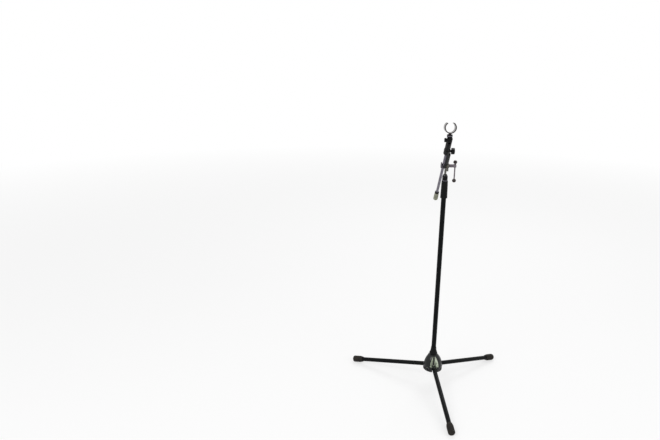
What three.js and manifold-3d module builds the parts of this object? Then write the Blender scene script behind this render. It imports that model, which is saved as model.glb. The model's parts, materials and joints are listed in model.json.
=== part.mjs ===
// A boom microphone stand: a die-cast tripod hub with three folding legs, a telescopic upright with a
// twist clutch, a swivel with a T-bar lock, and a telescopic boom that carries a microphone clip.
// Millimetres, +Z up. The boom lies in the YZ plane, its front end towards -Y and up.

import * as THREE from "three";
import { mergeVertices } from "three/addons/utils/BufferGeometryUtils.js";
import Module from "manifold-3d";

const wasm = await Module();
wasm.setup();

// Clearances

const gap = 0.3; // between two pieces that meet
const slip = 0.35; // round a tube that slides in another
const overrun = 2; // how far a cutter passes the face that it opens
const weld = 1e-4; // points nearer than this are one point
const halfTurn = Math.PI;
const quarterTurn = Math.PI / 2;
const degree = Math.PI / 180;

// How many flat sides stand in for a circle

const sides = { fine: 12, pin: 16, tube: 20, grip: 24, dome: 48 };
const arcSteps = { edge: 3, dome: 7, ball: 6, clip: 22 };

// Driving dimensions

const standHeight = 900; // floor to the top of the upright's shoulder, pushed right down
const boomElevation = 45 * degree;
const clipLean = 49 * degree; // how much steeper than the boom the clip stands
const baseTurn = 5.7 * degree; // how far the tripod is turned under the boom
const boomOffset = -9; // the boom passes this far to the left of the upright's axis

// Tripod hub

const hub = {
  bottom: 68,
  skirt: 12, // height of the straight skirt
  radius: 39,
  height: 69,
  crownShare: 0.95, // how much of the dome's ellipse stands above the skirt
  bevel: 1.5,
  web: 4, // floor under the upright's socket
  grooveHalfFloor: 2,
  pocketRadius: 8.6,
  pocketReach: 23, // from the upright's axis to a lightening pocket's axis
  pocketDepth: 30,
};
const hubCollar = { height: 30, topWall: 0.8, waistWall: 2.2, bottomWall: 6.7, lip: 4 };
const baseBolt = { radius: 4, headRadius: 8, headHeight: 6, reach: 18, washerRadius: 12, washer: 2.4 };

// Legs

const leg = {
  radius: 8.7,
  wall: 1.2,
  pinReach: 27, // from the upright's axis to the leg's pin
  pinRise: 13, // of the pin above the hub's underside
  length: 344, // from the pin to the outer end of the foot
  shoulder: 10.4, // from the pin to where the tube starts
  plug: 20, // how far the knuckle reaches into the tube
  slotGap: 0.4,
  foldGap: 0.5, // between the folded leg and its groove
};
const legPin = { radius: 3, headRadius: 5.2, headHeight: 3, seat: 21.5 };
const foot = { radius: 13.5, neckWall: 2, length: 47, taper: 12, edge: 4, end: 6, flat: 0.8 };
const legNames = ["front", "right", "left"];
const frontLegAngle = -quarterTurn + baseTurn;

// Upright

const lowerTube = { radius: 9.5, wall: 1.2 };
const upperTube = { wall: 1.1 };
const tubePlug = { height: 22 };
const tubeBush = { flange: 5, plug: 14, rest: 0.5 }; // it comes to rest this far above the plug
const shoulder = { height: 8.2, radius: 9.5, topRadius: 6, plug: 25 };
const collet = { wall: 0.75, slit: 1.6 };
const nose = { length: 15, wall: 0.9, lip: 2.5, bevel: 0.8 };
const ring = { height: 2.8, rise: 1 };
const ferrule = { wall: 1, lip: 3.7 };
const sleeve = {
  length: 67,
  topWall: 0.9,
  bottomWall: 2.4,
  lip: 3,
  foot: 5,
  bevel: 0.8,
  tubeSetBack: 21, // from the sleeve's top down to the lower tube's end
};

// Swivel and its T-bar lock

const stud = { radius: 4, neck: 11.3, thread: 9.5 };
const swivel = { earThickness: 6.6, halfDepth: 5.8, blockHeight: 8.5, headroom: 0.9, bossRadius: 9.5 };
const disc = { thickness: 1.5, radius: 10 };
const shank = { radius: 3.5, endWall: 5 }; // left between the shank's end and the bar
const eye = {
  wall: 2.6,
  left: 9.9, // from the boom's axis
  right: 8.4,
  headThickness: 2.7,
  headRise: 1.2,
  headOffset: 8, // the oblong head reaches this much further along the boom
};
const saddle = {
  wall: 2.6,
  floor: 1.9,
  armGap: 0.8, // between the arm's root and the friction disc
  armEnd: 78,
  armHalfWidth: 7,
  armHalfDepth: 5.5,
};
const barNut = { radius: 6.4, length: 26.8, washer: 1.5, washerRadius: 8.5, barInset: 4.5, bevel: 1 };
const bar = { radius: 2.5, ballRadius: 7.6, length: 71, socket: 5 }; // long between the balls' middles

// Boom, measured along it from the tilt axis

const boomTube = { radius: 5.5, wall: 1, rear: -236, front: 90 };
const endCap = { end: 10, length: 48, frontWall: 2.7, rearWall: 3.5, edge: 3 };
const endRim = { length: 5.7, wall: 2.5, bevel: 1 };
const collar = { overlap: 8, length: 26, wall: 5.7, bevel: 1.6, bossWall: 2.5, bossRise: 1.9 };
const boomRod = { wall: 1, rearGap: 18 }; // from the tube's rear end to the rod's
const rodGuide = { flange: 3, plug: 8 };
const thumbScrew = {
  inset: 6, // from the tube's front end to the screw
  radius: 2.4,
  grip: 7, // how far the stud reaches into the knob
};
const thumbKnob = {
  neckWall: 1.5,
  neck: 1.8,
  thickness: 12.5,
  radius: 11.2,
  lobe: 0.7,
  lobes: 8,
  lobeSteps: 6,
  edge: 1.2,
};

// Microphone clip, measured along the boom to the tilt joint and from there along the clip

const adaptor = { radius: 10.3, length: 43.7, bevel: 1.4, rodSeat: 18.7, insertWall: 2 };
const clipJoint = {
  rise: 11, // from the adaptor's body to the joint's axis
  radius: 9,
  halfTongue: 3.7,
  screwRadius: 2.4,
  headRadius: 5,
  headHeight: 2.4,
  headSink: 1, // of the head's face below the ear's side
};
const clipKnob = { grip: 5, thickness: 7.6, radius: 7.4, lobe: 0.5, lobes: 10, lobeSteps: 4, edge: 1.2 };
const clipBody = { height: 2.8, radius: 10.1 };
const clipRing = { height: 3, radius: 10.3, bore: 6 };
const clipCap = { height: 4.2, radius: 10.1, edge: 1.2 };
const clip = {
  radius: 21,
  band: 3.6,
  depth: 34,
  mouth: 20,
  lip: 2.1, // radius of the rounded tips
  stem: 3.2,
  stemHalfWidth: 3.5,
  stemHalfDepth: 7,
};

// Heights of the upright

const hubTop = hub.bottom + hub.height;
const pinHeight = hub.bottom + leg.pinRise;
const shoulderBottom = standHeight - shoulder.height;
const noseTop = shoulderBottom - gap;
const noseBottom = noseTop - nose.length;
const ringTop = noseBottom - gap;
const ringBottom = ringTop - ring.height;
const sleeveTop = ringBottom - gap;
const sleeveBottom = sleeveTop - sleeve.length;
const lowerTubeBottom = hub.bottom + hub.web + gap;
const lowerTubeTop = sleeveTop - sleeve.tubeSetBack;
const plugTop = lowerTubeBottom + tubePlug.height;
const upperTubeTop = shoulderBottom - gap;
const upperTubeBottom = plugTop + tubeBush.rest + tubeBush.flange + gap;
const ferruleTop = lowerTubeTop + gap + ferrule.lip;
const ferruleBottom = sleeveBottom + sleeve.foot + gap;
const colletTop = noseTop - nose.lip - gap;

// Radii of the upright, each from the one inside it

const lowerTubeBore = lowerTube.radius - lowerTube.wall;
const upperTubeRadius = lowerTubeBore - slip;
const upperTubeBore = upperTubeRadius - upperTube.wall;
const socketRadius = lowerTube.radius + gap;
const ferruleRadius = socketRadius + ferrule.wall;
const sleeveBore = ferruleRadius + gap;
const colletBore = upperTubeRadius + gap;
const colletRadius = colletBore + collet.wall;
const clutchBore = colletRadius + gap;
const noseRadius = clutchBore + nose.wall;
const ringRadius = noseRadius + ring.rise;

// Legs and their grooves

const legBore = leg.radius - leg.wall;
const grooveFloor = leg.pinReach + hub.grooveHalfFloor - (leg.radius + leg.foldGap) * Math.SQRT2;

// The slope at which the foot's rounded edge is pressed flat on the floor by foot.flat.
const slopeRun = leg.length - foot.edge;
const slopeDrop = foot.radius - foot.edge;
const slopeFall = pinHeight + foot.flat - foot.edge;
const legSlope = Math.asin(slopeFall / Math.hypot(slopeRun, slopeDrop)) - Math.atan2(slopeDrop, slopeRun);

// Places across the head, from left to right, each from the one before

const boomBore = boomTube.radius + gap;
const eyeRadius = boomBore + eye.wall;
const eyeLeft = boomOffset - eye.left;
const eyeRight = boomOffset + eye.right;
const saddleRadius = eyeRadius + gap + saddle.wall;
const saddleRight = eyeRight + gap + saddle.floor;
const discLeft = saddleRight + gap;
const discRight = discLeft + disc.thickness;
const earLeft = discRight + gap;
const earRight = earLeft + swivel.earThickness;
const washerLeft = earRight + gap;
const washerRight = washerLeft + barNut.washer;
const nutLeft = washerRight + gap;
const nutRight = nutLeft + barNut.length;
const barPlace = nutRight - barNut.barInset;
const shankEnd = barPlace - bar.radius - shank.endWall;
const swivelLeft = boomOffset + boomBore;
const barTop = barNut.radius + gap + bar.ballRadius;
const barBottom = barTop - bar.length;

// Heights of the head, from the tilt axis down

const blockTop = -saddleRadius - swivel.headroom;
const blockBottom = blockTop - swivel.blockHeight;
const pivotHeight = standHeight + stud.neck - blockBottom;

// Places along the boom

const rodRadius = boomTube.radius - boomTube.wall - slip;
const capRear = boomTube.rear - endCap.end;
const capFront = capRear + endCap.length;
const rimRear = capFront + gap;
const rimFront = rimRear + endRim.length;
const collarRadius = boomBore + collar.wall;
const collarRear = boomTube.front - collar.overlap;
const collarFront = collarRear + collar.length;
const screwPlace = boomTube.front + thumbScrew.inset;
const bossReach = collarRadius + collar.bossRise;
const adaptorRear = collarFront + gap;
const adaptorEnd = adaptorRear + adaptor.length;
const rodFront = adaptorRear + adaptor.rodSeat;
const rodRear = boomTube.rear + boomRod.rearGap;
const clipPlace = adaptorEnd + clipJoint.rise;

const headStart = adaptor.radius - clipJoint.headSink - clipJoint.headHeight;

// Places along the clip, from its joint

const bodyStart = clipJoint.radius + 2 * gap;
const bodyEnd = bodyStart + clipBody.height;
const clipRingStart = bodyEnd + gap;
const clipRingEnd = clipRingStart + clipRing.height;
const clipCapStart = clipRingEnd + gap;
const clipCapEnd = clipCapStart + clipCap.height;
const stemStart = clipCapEnd + gap;
const clipCentre = stemStart + clip.stem + clip.radius;

// Finishes

const finish = {
  powderBlack: { color: 0x1b1f1e, roughness: 0.5, metalness: 0.3 },
  castBlack: { color: 0x202624, roughness: 0.38, metalness: 0.5 },
  nickel: { color: 0xb9b7b2, roughness: 0.25, metalness: 1 },
  steel: { color: 0x8f8f8d, roughness: 0.35, metalness: 1 },
  chrome: { color: 0xd0cfcc, roughness: 0.12, metalness: 1 },
  brass: { color: 0xb08d4a, roughness: 0.3, metalness: 1 },
  rubberBlack: { color: 0x23211e, roughness: 0.85, metalness: 0 },
  rubberGrey: { color: 0x8a8c84, roughness: 0.75, metalness: 0 },
  plasticBlack: { color: 0x17181a, roughness: 0.45, metalness: 0 },
  plasticBrown: { color: 0x2b1c18, roughness: 0.3, metalness: 0 },
  castGrey: { color: 0x767a74, roughness: 0.45, metalness: 0.8 },
};

// Solids

// A geometry keeps only its places, with points that meet made one.
function welded(geometry) {
  const bare = geometry.clone();
  bare.deleteAttribute("normal");
  bare.deleteAttribute("uv");
  return mergeVertices(bare, weld);
}

// The closed solid of a geometry, ready to be joined or cut.
function solidOf(geometry) {
  const source = welded(geometry);
  const corners = source.index.array;
  const kept = [];
  for (let i = 0; i < corners.length; i += 3) {
    const [a, b, c] = [corners[i], corners[i + 1], corners[i + 2]];
    if (a !== b && b !== c && c !== a) {
      kept.push(a, b, c);
    }
  }
  const mesh = new wasm.Mesh({
    numProp: 3,
    vertProperties: source.attributes.position.array,
    triVerts: new Uint32Array(kept),
  });
  return new wasm.Manifold(mesh);
}

// The geometry of a solid, with a normal for each flat face.
function geometryOf(solid) {
  const mesh = solid.getMesh();
  const shape = new THREE.BufferGeometry();
  const places = new Float32Array(mesh.vertProperties);
  shape.setAttribute("position", new THREE.BufferAttribute(places, mesh.numProp));
  shape.setIndex(new THREE.BufferAttribute(new Uint32Array(mesh.triVerts), 1));
  const faceted = shape.toNonIndexed();
  faceted.computeVertexNormals();
  return faceted;
}

// The first geometry joined with the others.
function joined(first, ...others) {
  return geometryOf(others.reduce((sum, other) => sum.add(solidOf(other)), solidOf(first)));
}

// The first geometry with the others cut out of it.
function cut(first, ...others) {
  return geometryOf(others.reduce((rest, other) => rest.subtract(solidOf(other)), solidOf(first)));
}

// What the first geometry shares with the others.
function shared(first, ...others) {
  return geometryOf(others.reduce((rest, other) => rest.intersect(solidOf(other)), solidOf(first)));
}

// Twice the area inside an outline, positive when it runs anticlockwise.
function turnOf(outline) {
  return outline.reduce((sum, [x, y], i) => {
    const [nextX, nextY] = outline[(i + 1) % outline.length];
    return sum + x * nextY - nextX * y;
  }, 0);
}

// An outline of [radius, height] pairs turned about the Z axis. It starts and ends on the axis, or closes.
function turned(outline, count = sides.tube) {
  const onAxis = outline[0][0] === 0;
  const ordered = turnOf(outline) > 0 ? outline : [...outline].reverse();
  const points = ordered.map(([radius, height]) => new THREE.Vector2(radius, height));
  if (!onAxis) {
    points.push(points[0].clone());
  }
  return new THREE.LatheGeometry(points, count).rotateX(quarterTurn);
}

// A hollow cylinder about the Z axis.
function pipe(bore, radius, bottom, top, count) {
  return turned([[bore, bottom], [radius, bottom], [radius, top], [bore, top]], count);
}

// A solid cylinder about the Z axis.
function roundBar(radius, bottom, top, count) {
  return turned([[0, bottom], [radius, bottom], [radius, top], [0, top]], count);
}

// A solid cylinder about the Z axis with bevelled ends.
function bevelledBar(radius, bottom, top, bevel, count) {
  const outline = [
    [0, bottom],
    [radius - bevel, bottom],
    [radius, bottom + bevel],
    [radius, top - bevel],
    [radius - bevel, top],
    [0, top],
  ];
  return turned(outline, count);
}

// A box between two corners.
function block(low, high) {
  const size = high.map((value, i) => value - low[i]);
  const middle = high.map((value, i) => (value + low[i]) / 2);
  return new THREE.BoxGeometry(...size).translate(...middle);
}

// Points of an arc as [across, along] pairs, both ends included.
function arc(centreX, centreY, radiusX, radiusY, from, to, steps) {
  return Array.from({ length: steps + 1 }, (_, i) => {
    const angle = from + ((to - from) * i) / steps;
    return [centreX + radiusX * Math.cos(angle), centreY + radiusY * Math.sin(angle)];
  });
}

// A flat outline pushed straight up from a height.
function pushed(outline, bottom, top) {
  const shape = new THREE.Shape(outline.map(([x, y]) => new THREE.Vector2(x, y)));
  const options = { depth: top - bottom, bevelEnabled: false };
  return new THREE.ExtrudeGeometry(shape, options).translate(0, 0, bottom);
}

// A geometry about the Z axis laid along the X axis, its height running to +X.
function alongX(geometry) {
  return geometry.rotateY(quarterTurn);
}

// A geometry about the Z axis laid along the Y axis, its height running to -Y.
function alongY(geometry) {
  return geometry.rotateX(quarterTurn);
}

// A round outline with shallow lobes for the fingers.
function lobedOutline(radius, lobe, lobes, stepsPerLobe) {
  const steps = lobes * stepsPerLobe;
  return Array.from({ length: steps }, (_, i) => {
    const angle = (2 * halfTurn * i) / steps;
    const reach = radius + lobe * Math.cos(lobes * angle);
    return [reach * Math.cos(angle), reach * Math.sin(angle)];
  });
}

// A named piece in a group.
function piece(group, name, geometry, look) {
  const mesh = new THREE.Mesh(geometry, new THREE.MeshStandardMaterial(finish[look]));
  mesh.name = name;
  group.add(mesh);
  return mesh;
}

// Tripod hub

// The dome with its socket for the upright and a hole in its floor for the bolt.
function hubDome() {
  const skirtTop = hub.bottom + hub.skirt;
  const rise = (hubTop - skirtTop) / hub.crownShare;
  const outline = [
    [baseBolt.radius + gap, hub.bottom],
    [hub.radius - hub.bevel, hub.bottom],
    [hub.radius, hub.bottom + hub.bevel],
    ...arc(0, skirtTop, hub.radius, rise, 0, Math.asin(hub.crownShare), arcSteps.dome),
    [socketRadius, hubTop],
    [socketRadius, hub.bottom + hub.web],
    [baseBolt.radius + gap, hub.bottom + hub.web],
  ];
  return turned(outline, sides.dome);
}

// What one leg cuts from the dome, for a leg along +X: its slot, its groove and its pin's hole and seats.
function legCutters() {
  const outside = hub.radius + overrun;
  const slotHalf = leg.radius + leg.slotGap;
  const slotTop = pinHeight + slotHalf;
  const slotInner = leg.pinReach - slotHalf;
  const slot = block([slotInner, -slotHalf, hub.bottom - overrun], [outside, slotHalf, slotTop]);
  const grooveHalfMouth = hub.grooveHalfFloor + outside - grooveFloor;
  const grooveOutline = [
    [grooveFloor, -hub.grooveHalfFloor],
    [outside, -grooveHalfMouth],
    [outside, grooveHalfMouth],
    [grooveFloor, hub.grooveHalfFloor],
  ];
  const groove = pushed(grooveOutline, pinHeight + leg.radius, hubTop + overrun);
  const hole = alongY(roundBar(legPin.radius + gap, -outside, outside, sides.pin));
  const seats = [-1, 1].map((side) => {
    const seat = roundBar(legPin.headRadius + gap, legPin.seat, outside, sides.pin);
    return alongY(seat).rotateZ(side > 0 ? 0 : halfTurn);
  });
  const pinCutters = [hole, ...seats].map((cutter) => cutter.translate(leg.pinReach, 0, pinHeight));
  return [slot, groove, ...pinCutters];
}

// A pocket under the dome, half way between two legs.
function hubPocket() {
  const pocket = roundBar(hub.pocketRadius, hub.bottom - overrun, hub.bottom + hub.pocketDepth, sides.pin);
  return pocket.translate(hub.pocketReach, 0, 0).rotateZ(halfTurn / legNames.length);
}

function buildHub(stand) {
  const cutters = legNames.flatMap((_, i) => {
    const angle = frontLegAngle + (2 * halfTurn * i) / legNames.length;
    return [...legCutters(), hubPocket()].map((cutter) => cutter.rotateZ(angle));
  });
  piece(stand, "base_hub", cut(hubDome(), ...cutters), "castBlack");

  const collarBottom = hubTop + gap;
  const collarTop = collarBottom + hubCollar.height;
  const collarOutline = [
    [socketRadius, collarBottom],
    [socketRadius + hubCollar.bottomWall, collarBottom],
    [socketRadius + hubCollar.bottomWall, collarBottom + hubCollar.lip],
    [socketRadius + hubCollar.waistWall, collarTop - hubCollar.height / 2],
    [socketRadius + hubCollar.topWall, collarTop],
    [socketRadius, collarTop],
  ];
  piece(stand, "hub_collar", turned(collarOutline, sides.grip), "plasticBlack");

  const washerTop = hub.bottom - gap;
  const washerBottom = washerTop - baseBolt.washer;
  const washer = pipe(baseBolt.radius + gap, baseBolt.washerRadius, washerBottom, washerTop);
  piece(stand, "base_washer", washer, "steel");

  const headTop = washerBottom - gap;
  const head = new THREE.CylinderGeometry(baseBolt.headRadius, baseBolt.headRadius, baseBolt.headHeight, 6);
  head.rotateX(quarterTurn).translate(0, 0, headTop - baseBolt.headHeight / 2);
  const boltTop = lowerTubeBottom + baseBolt.reach;
  const boltShank = roundBar(baseBolt.radius, headTop - baseBolt.headHeight / 2, boltTop, sides.pin);
  piece(stand, "base_bolt", joined(head, boltShank), "steel");
}

// Legs

// The knuckle at the pin, round at its end, with a plug for the tube. The leg runs along +X.
function legKnuckle() {
  const barrel = alongX(roundBar(leg.radius, -leg.radius, leg.shoulder));
  const hinge = alongY(roundBar(leg.radius, -leg.radius - overrun, leg.radius + overrun));
  const wide = leg.radius + overrun;
  const front = block([0, -wide, -wide], [leg.shoulder + overrun, wide, wide]);
  const head = shared(barrel, joined(hinge, front));
  const plug = alongX(roundBar(legBore - gap, 0, leg.shoulder + leg.plug, sides.pin));
  const hole = alongY(roundBar(legPin.radius + gap, -wide, wide, sides.pin));
  return cut(joined(head, plug), hole);
}

// The rubber foot, pressed flat where it meets the floor.
function legFoot(legToFloor) {
  const start = leg.length - foot.length;
  const edgeMiddle = [foot.radius - foot.edge, leg.length - foot.edge];
  const outline = [
    [0, leg.length - foot.end],
    [leg.radius + gap, leg.length - foot.end],
    [leg.radius + gap, start],
    [leg.radius + foot.neckWall, start],
    [foot.radius, start + foot.taper],
    ...arc(...edgeMiddle, foot.edge, foot.edge, 0, quarterTurn, arcSteps.edge),
    [0, leg.length],
  ];
  const boot = alongX(turned(outline, sides.grip));
  const wide = 2 * leg.length;
  const floor = block([-wide, -wide, -wide], [wide, wide, 0]);
  return cut(boot, floor.applyMatrix4(legToFloor));
}

function buildLegs(stand) {
  legNames.forEach((name, i) => {
    const spoke = new THREE.Group();
    spoke.rotation.z = frontLegAngle + (2 * halfTurn * i) / legNames.length;
    stand.add(spoke);

    const pinOutline = [
      [0, -legPin.seat - gap - legPin.headHeight],
      [legPin.headRadius, -legPin.seat - gap - legPin.headHeight],
      [legPin.headRadius, -legPin.seat - gap],
      [legPin.radius, -legPin.seat - gap],
      [legPin.radius, legPin.seat + gap],
      [legPin.headRadius, legPin.seat + gap],
      [legPin.headRadius, legPin.seat + gap + legPin.headHeight],
      [0, legPin.seat + gap + legPin.headHeight],
    ];
    const pin = piece(spoke, `leg_pin_${name}`, alongY(turned(pinOutline, sides.pin)), "steel");
    pin.position.set(leg.pinReach, 0, pinHeight);

    const arm = new THREE.Group();
    arm.position.set(leg.pinReach, 0, pinHeight);
    arm.rotation.y = legSlope;
    arm.updateMatrix();
    spoke.add(arm);
    const tubeEnd = leg.length - foot.end - gap;
    const tube = alongX(pipe(legBore, leg.radius, leg.shoulder + gap, tubeEnd));
    piece(arm, `leg_knuckle_${name}`, legKnuckle(), "castBlack");
    piece(arm, `leg_tube_${name}`, tube, "powderBlack");
    piece(arm, `leg_foot_${name}`, legFoot(arm.matrix.clone().invert()), "rubberBlack");
  });
}

// Upright

// The split bush that the clutch squeezes on to the upper tube.
function colletShape() {
  const slitHalf = collet.slit / 2;
  const bush = pipe(colletBore, colletRadius, ferruleTop + gap, colletTop);
  return cut(bush, block([0, -slitHalf, ferruleTop], [noseRadius, slitHalf, noseTop]));
}

function buildUpright(stand) {
  piece(
    stand,
    "lower_tube",
    pipe(lowerTubeBore, lowerTube.radius, lowerTubeBottom, lowerTubeTop),
    "powderBlack",
  );
  const plug = pipe(baseBolt.radius + gap, lowerTubeBore - gap, lowerTubeBottom, plugTop);
  piece(stand, "tube_plug", plug, "steel");

  const ferruleOutline = [
    [socketRadius, ferruleBottom],
    [ferruleRadius, ferruleBottom],
    [ferruleRadius, ferruleTop],
    [colletBore, ferruleTop],
    [colletBore, lowerTubeTop + gap],
    [socketRadius, lowerTubeTop + gap],
  ];
  piece(stand, "clutch_ferrule", turned(ferruleOutline), "steel");
  piece(stand, "clutch_collet", colletShape(), "plasticBlack");

  const sleeveLow = sleeveBore + sleeve.bottomWall;
  const sleeveHigh = sleeveBore + sleeve.topWall;
  const sleeveOutline = [
    [socketRadius, sleeveBottom],
    [sleeveLow - sleeve.bevel, sleeveBottom],
    [sleeveLow, sleeveBottom + sleeve.bevel],
    [sleeveHigh, sleeveTop - sleeve.bevel],
    [sleeveHigh - sleeve.bevel, sleeveTop],
    [clutchBore, sleeveTop],
    [clutchBore, sleeveTop - sleeve.lip],
    [sleeveBore, sleeveTop - sleeve.lip],
    [sleeveBore, sleeveBottom + sleeve.foot],
    [socketRadius, sleeveBottom + sleeve.foot],
  ];
  piece(stand, "clutch_sleeve", turned(sleeveOutline, sides.grip), "plasticBlack");
  piece(stand, "clutch_ring", pipe(clutchBore, ringRadius, ringBottom, ringTop), "nickel");

  const noseOutline = [
    [clutchBore, noseBottom],
    [noseRadius, noseBottom],
    [noseRadius, noseTop - nose.bevel],
    [noseRadius - nose.bevel, noseTop],
    [colletBore, noseTop],
    [colletBore, noseTop - nose.lip],
    [clutchBore, noseTop - nose.lip],
  ];
  piece(stand, "clutch_nose", turned(noseOutline), "plasticBlack");

  piece(
    stand,
    "upper_tube",
    pipe(upperTubeBore, upperTubeRadius, upperTubeBottom, upperTubeTop),
    "powderBlack",
  );
  const bushOutline = [
    [0, upperTubeBottom - gap - tubeBush.flange],
    [lowerTubeBore - slip, upperTubeBottom - gap - tubeBush.flange],
    [lowerTubeBore - slip, upperTubeBottom - gap],
    [upperTubeBore - gap, upperTubeBottom - gap],
    [upperTubeBore - gap, upperTubeBottom + tubeBush.plug],
    [0, upperTubeBottom + tubeBush.plug],
  ];
  piece(stand, "tube_bush", turned(bushOutline), "plasticBlack");

  const socketFloor = standHeight - stud.thread - gap;
  const shoulderOutline = [
    [0, shoulderBottom - shoulder.plug],
    [upperTubeBore - gap, shoulderBottom - shoulder.plug],
    [upperTubeBore - gap, shoulderBottom],
    [shoulder.radius, shoulderBottom],
    [shoulder.topRadius, standHeight],
    [stud.radius + gap, standHeight],
    [stud.radius + gap, socketFloor],
    [0, socketFloor],
  ];
  piece(stand, "top_plug", turned(shoulderOutline), "castBlack");
}

// Swivel and T-bar, with the tilt axis as their origin

function buildSwivel(head) {
  const threadEnd = blockBottom - stud.neck - stud.thread;
  const depth = swivel.halfDepth;
  const low = block([swivelLeft, -depth, blockBottom], [earRight, depth, blockTop]);
  const ear = block([earLeft, -depth, blockBottom], [earRight, depth, 0]);
  const boss = alongX(roundBar(swivel.bossRadius, earLeft, earRight));
  const stem = roundBar(stud.radius, threadEnd, blockBottom + swivel.blockHeight / 2, sides.pin);
  const hole = alongX(roundBar(shank.radius + gap, discLeft, earRight + overrun, sides.pin));
  piece(head, "swivel_body", cut(joined(low, ear, boss, stem), hole), "castGrey");

  const washer = alongX(pipe(shank.radius + gap, disc.radius, discLeft, discRight));
  piece(head, "friction_disc", washer, "rubberGrey");
}

// A steel ball with a blind hole for the bar, its hole opening towards -Z.
function barBall() {
  const hole = bar.radius + gap;
  const mouth = Math.asin(hole / bar.ballRadius) - quarterTurn;
  const rim = arc(0, 0, bar.ballRadius, bar.ballRadius, mouth, quarterTurn, arcSteps.ball);
  rim[rim.length - 1] = [0, bar.ballRadius];
  const holeEnd = -bar.ballRadius + bar.socket + gap;
  return turned([[0, holeEnd], [hole, holeEnd], ...rim]);
}

function buildBarLock(head) {
  const washer = alongX(pipe(shank.radius + gap, barNut.washerRadius, washerLeft, washerRight));
  piece(head, "t_bar_washer", washer, "steel");

  const body = alongX(bevelledBar(barNut.radius, nutLeft, nutRight, barNut.bevel));
  const bore = alongX(roundBar(shank.radius + gap, nutLeft - overrun, shankEnd + gap, sides.pin));
  const wide = barNut.radius + overrun;
  const crossHole = roundBar(bar.radius + gap, -wide, wide, sides.pin).translate(barPlace, 0, 0);
  piece(head, "t_bar_nut", cut(body, bore, crossHole), "chrome");

  const topEnd = barTop - bar.ballRadius + bar.socket;
  const bottomEnd = barBottom + bar.ballRadius - bar.socket;
  const rod = piece(head, "t_bar_rod", roundBar(bar.radius, bottomEnd, topEnd, sides.pin), "chrome");
  rod.position.x = barPlace;
  const top = piece(head, "t_bar_ball_top", barBall(), "plasticBrown");
  top.position.set(barPlace, 0, barTop);
  const bottom = piece(head, "t_bar_ball_bottom", barBall().rotateX(halfTurn), "plasticBrown");
  bottom.position.set(barPlace, 0, barBottom);
}

// Boom clamp, in the boom's frame: the boom runs along +Z and the tilt axis is the X axis

// The rounded oblong plate at the eye bolt's left end.
function eyeHead() {
  const radius = eyeRadius + eye.headRise;
  const low = arc(0, 0, radius, radius, halfTurn, 2 * halfTurn, arcSteps.ball);
  const high = arc(0, eye.headOffset, radius, radius, 0, halfTurn, arcSteps.ball);
  const plate = pushed([...low, ...high], eyeLeft, eyeLeft + eye.headThickness);
  // the outline's second coordinate turns to the boom's direction
  return plate.rotateZ(quarterTurn).rotateY(quarterTurn).rotateX(halfTurn);
}

function boomBoreCutter(reach) {
  return roundBar(boomBore, -reach, reach).translate(boomOffset, 0, 0);
}

function buildBoomClamp(tilt) {
  const barrel = alongX(roundBar(eyeRadius, eyeLeft, eyeRight));
  const bolt = alongX(roundBar(shank.radius, eyeRight - overrun, shankEnd, sides.pin));
  const bore = boomBoreCutter(eyeRadius + eye.headRise + eye.headOffset + overrun);
  piece(tilt, "eye_bolt", cut(joined(barrel, eyeHead(), bolt), bore), "steel");

  const cup = alongX(roundBar(saddleRadius, boomOffset, saddleRight));
  const armWide = saddle.armHalfWidth;
  const armDeep = saddle.armHalfDepth;
  const arm = block([-armWide, -armDeep, saddleRadius / 2], [armWide, armDeep, saddle.armEnd]);
  const armRoot = block(
    [saddleRight, -saddleRadius, -saddleRadius],
    [armWide + overrun, saddleRadius, disc.radius + saddle.armGap],
  );
  const pocket = alongX(roundBar(eyeRadius + gap, boomOffset - overrun, eyeRight + gap));
  const hole = alongX(roundBar(shank.radius + gap, eyeRight - overrun, saddleRight + overrun, sides.pin));
  const boomWay = boomBoreCutter(saddle.armEnd + overrun);
  const body = cut(joined(cup, cut(arm, armRoot)), pocket, hole, boomWay);
  piece(tilt, "boom_saddle", body, "castBlack");
}

// Boom, in a frame on its own axis with its front end towards +Z

// The clamping collar with a boss for the thumb screw on its right.
function collarShape() {
  const outline = [
    [boomBore, collarRear],
    [collarRadius - collar.bevel, collarRear],
    [collarRadius, collarRear + collar.bevel],
    [collarRadius, collarFront - collar.bevel],
    [collarRadius - collar.bevel, collarFront],
    [rodRadius + gap, collarFront],
    [rodRadius + gap, boomTube.front + gap],
    [boomBore, boomTube.front + gap],
  ];
  const screwHole = thumbScrew.radius + gap;
  const boss = alongX(roundBar(screwHole + collar.bossWall, boomBore + overrun, bossReach, sides.pin));
  const hole = alongX(roundBar(screwHole, 0, bossReach + overrun, sides.fine));
  const body = joined(turned(outline, sides.grip), boss.translate(0, 0, screwPlace));
  return cut(body, hole.translate(0, 0, screwPlace));
}

// A lobed knob about the Z axis with bevelled faces.
function lobedKnob(knob, bottom) {
  const top = bottom + knob.thickness;
  const outline = lobedOutline(knob.radius, knob.lobe, knob.lobes, knob.lobeSteps);
  const rounded = bevelledBar(knob.radius + knob.lobe, bottom, top, knob.edge, sides.grip);
  return shared(pushed(outline, bottom, top), rounded);
}

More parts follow.
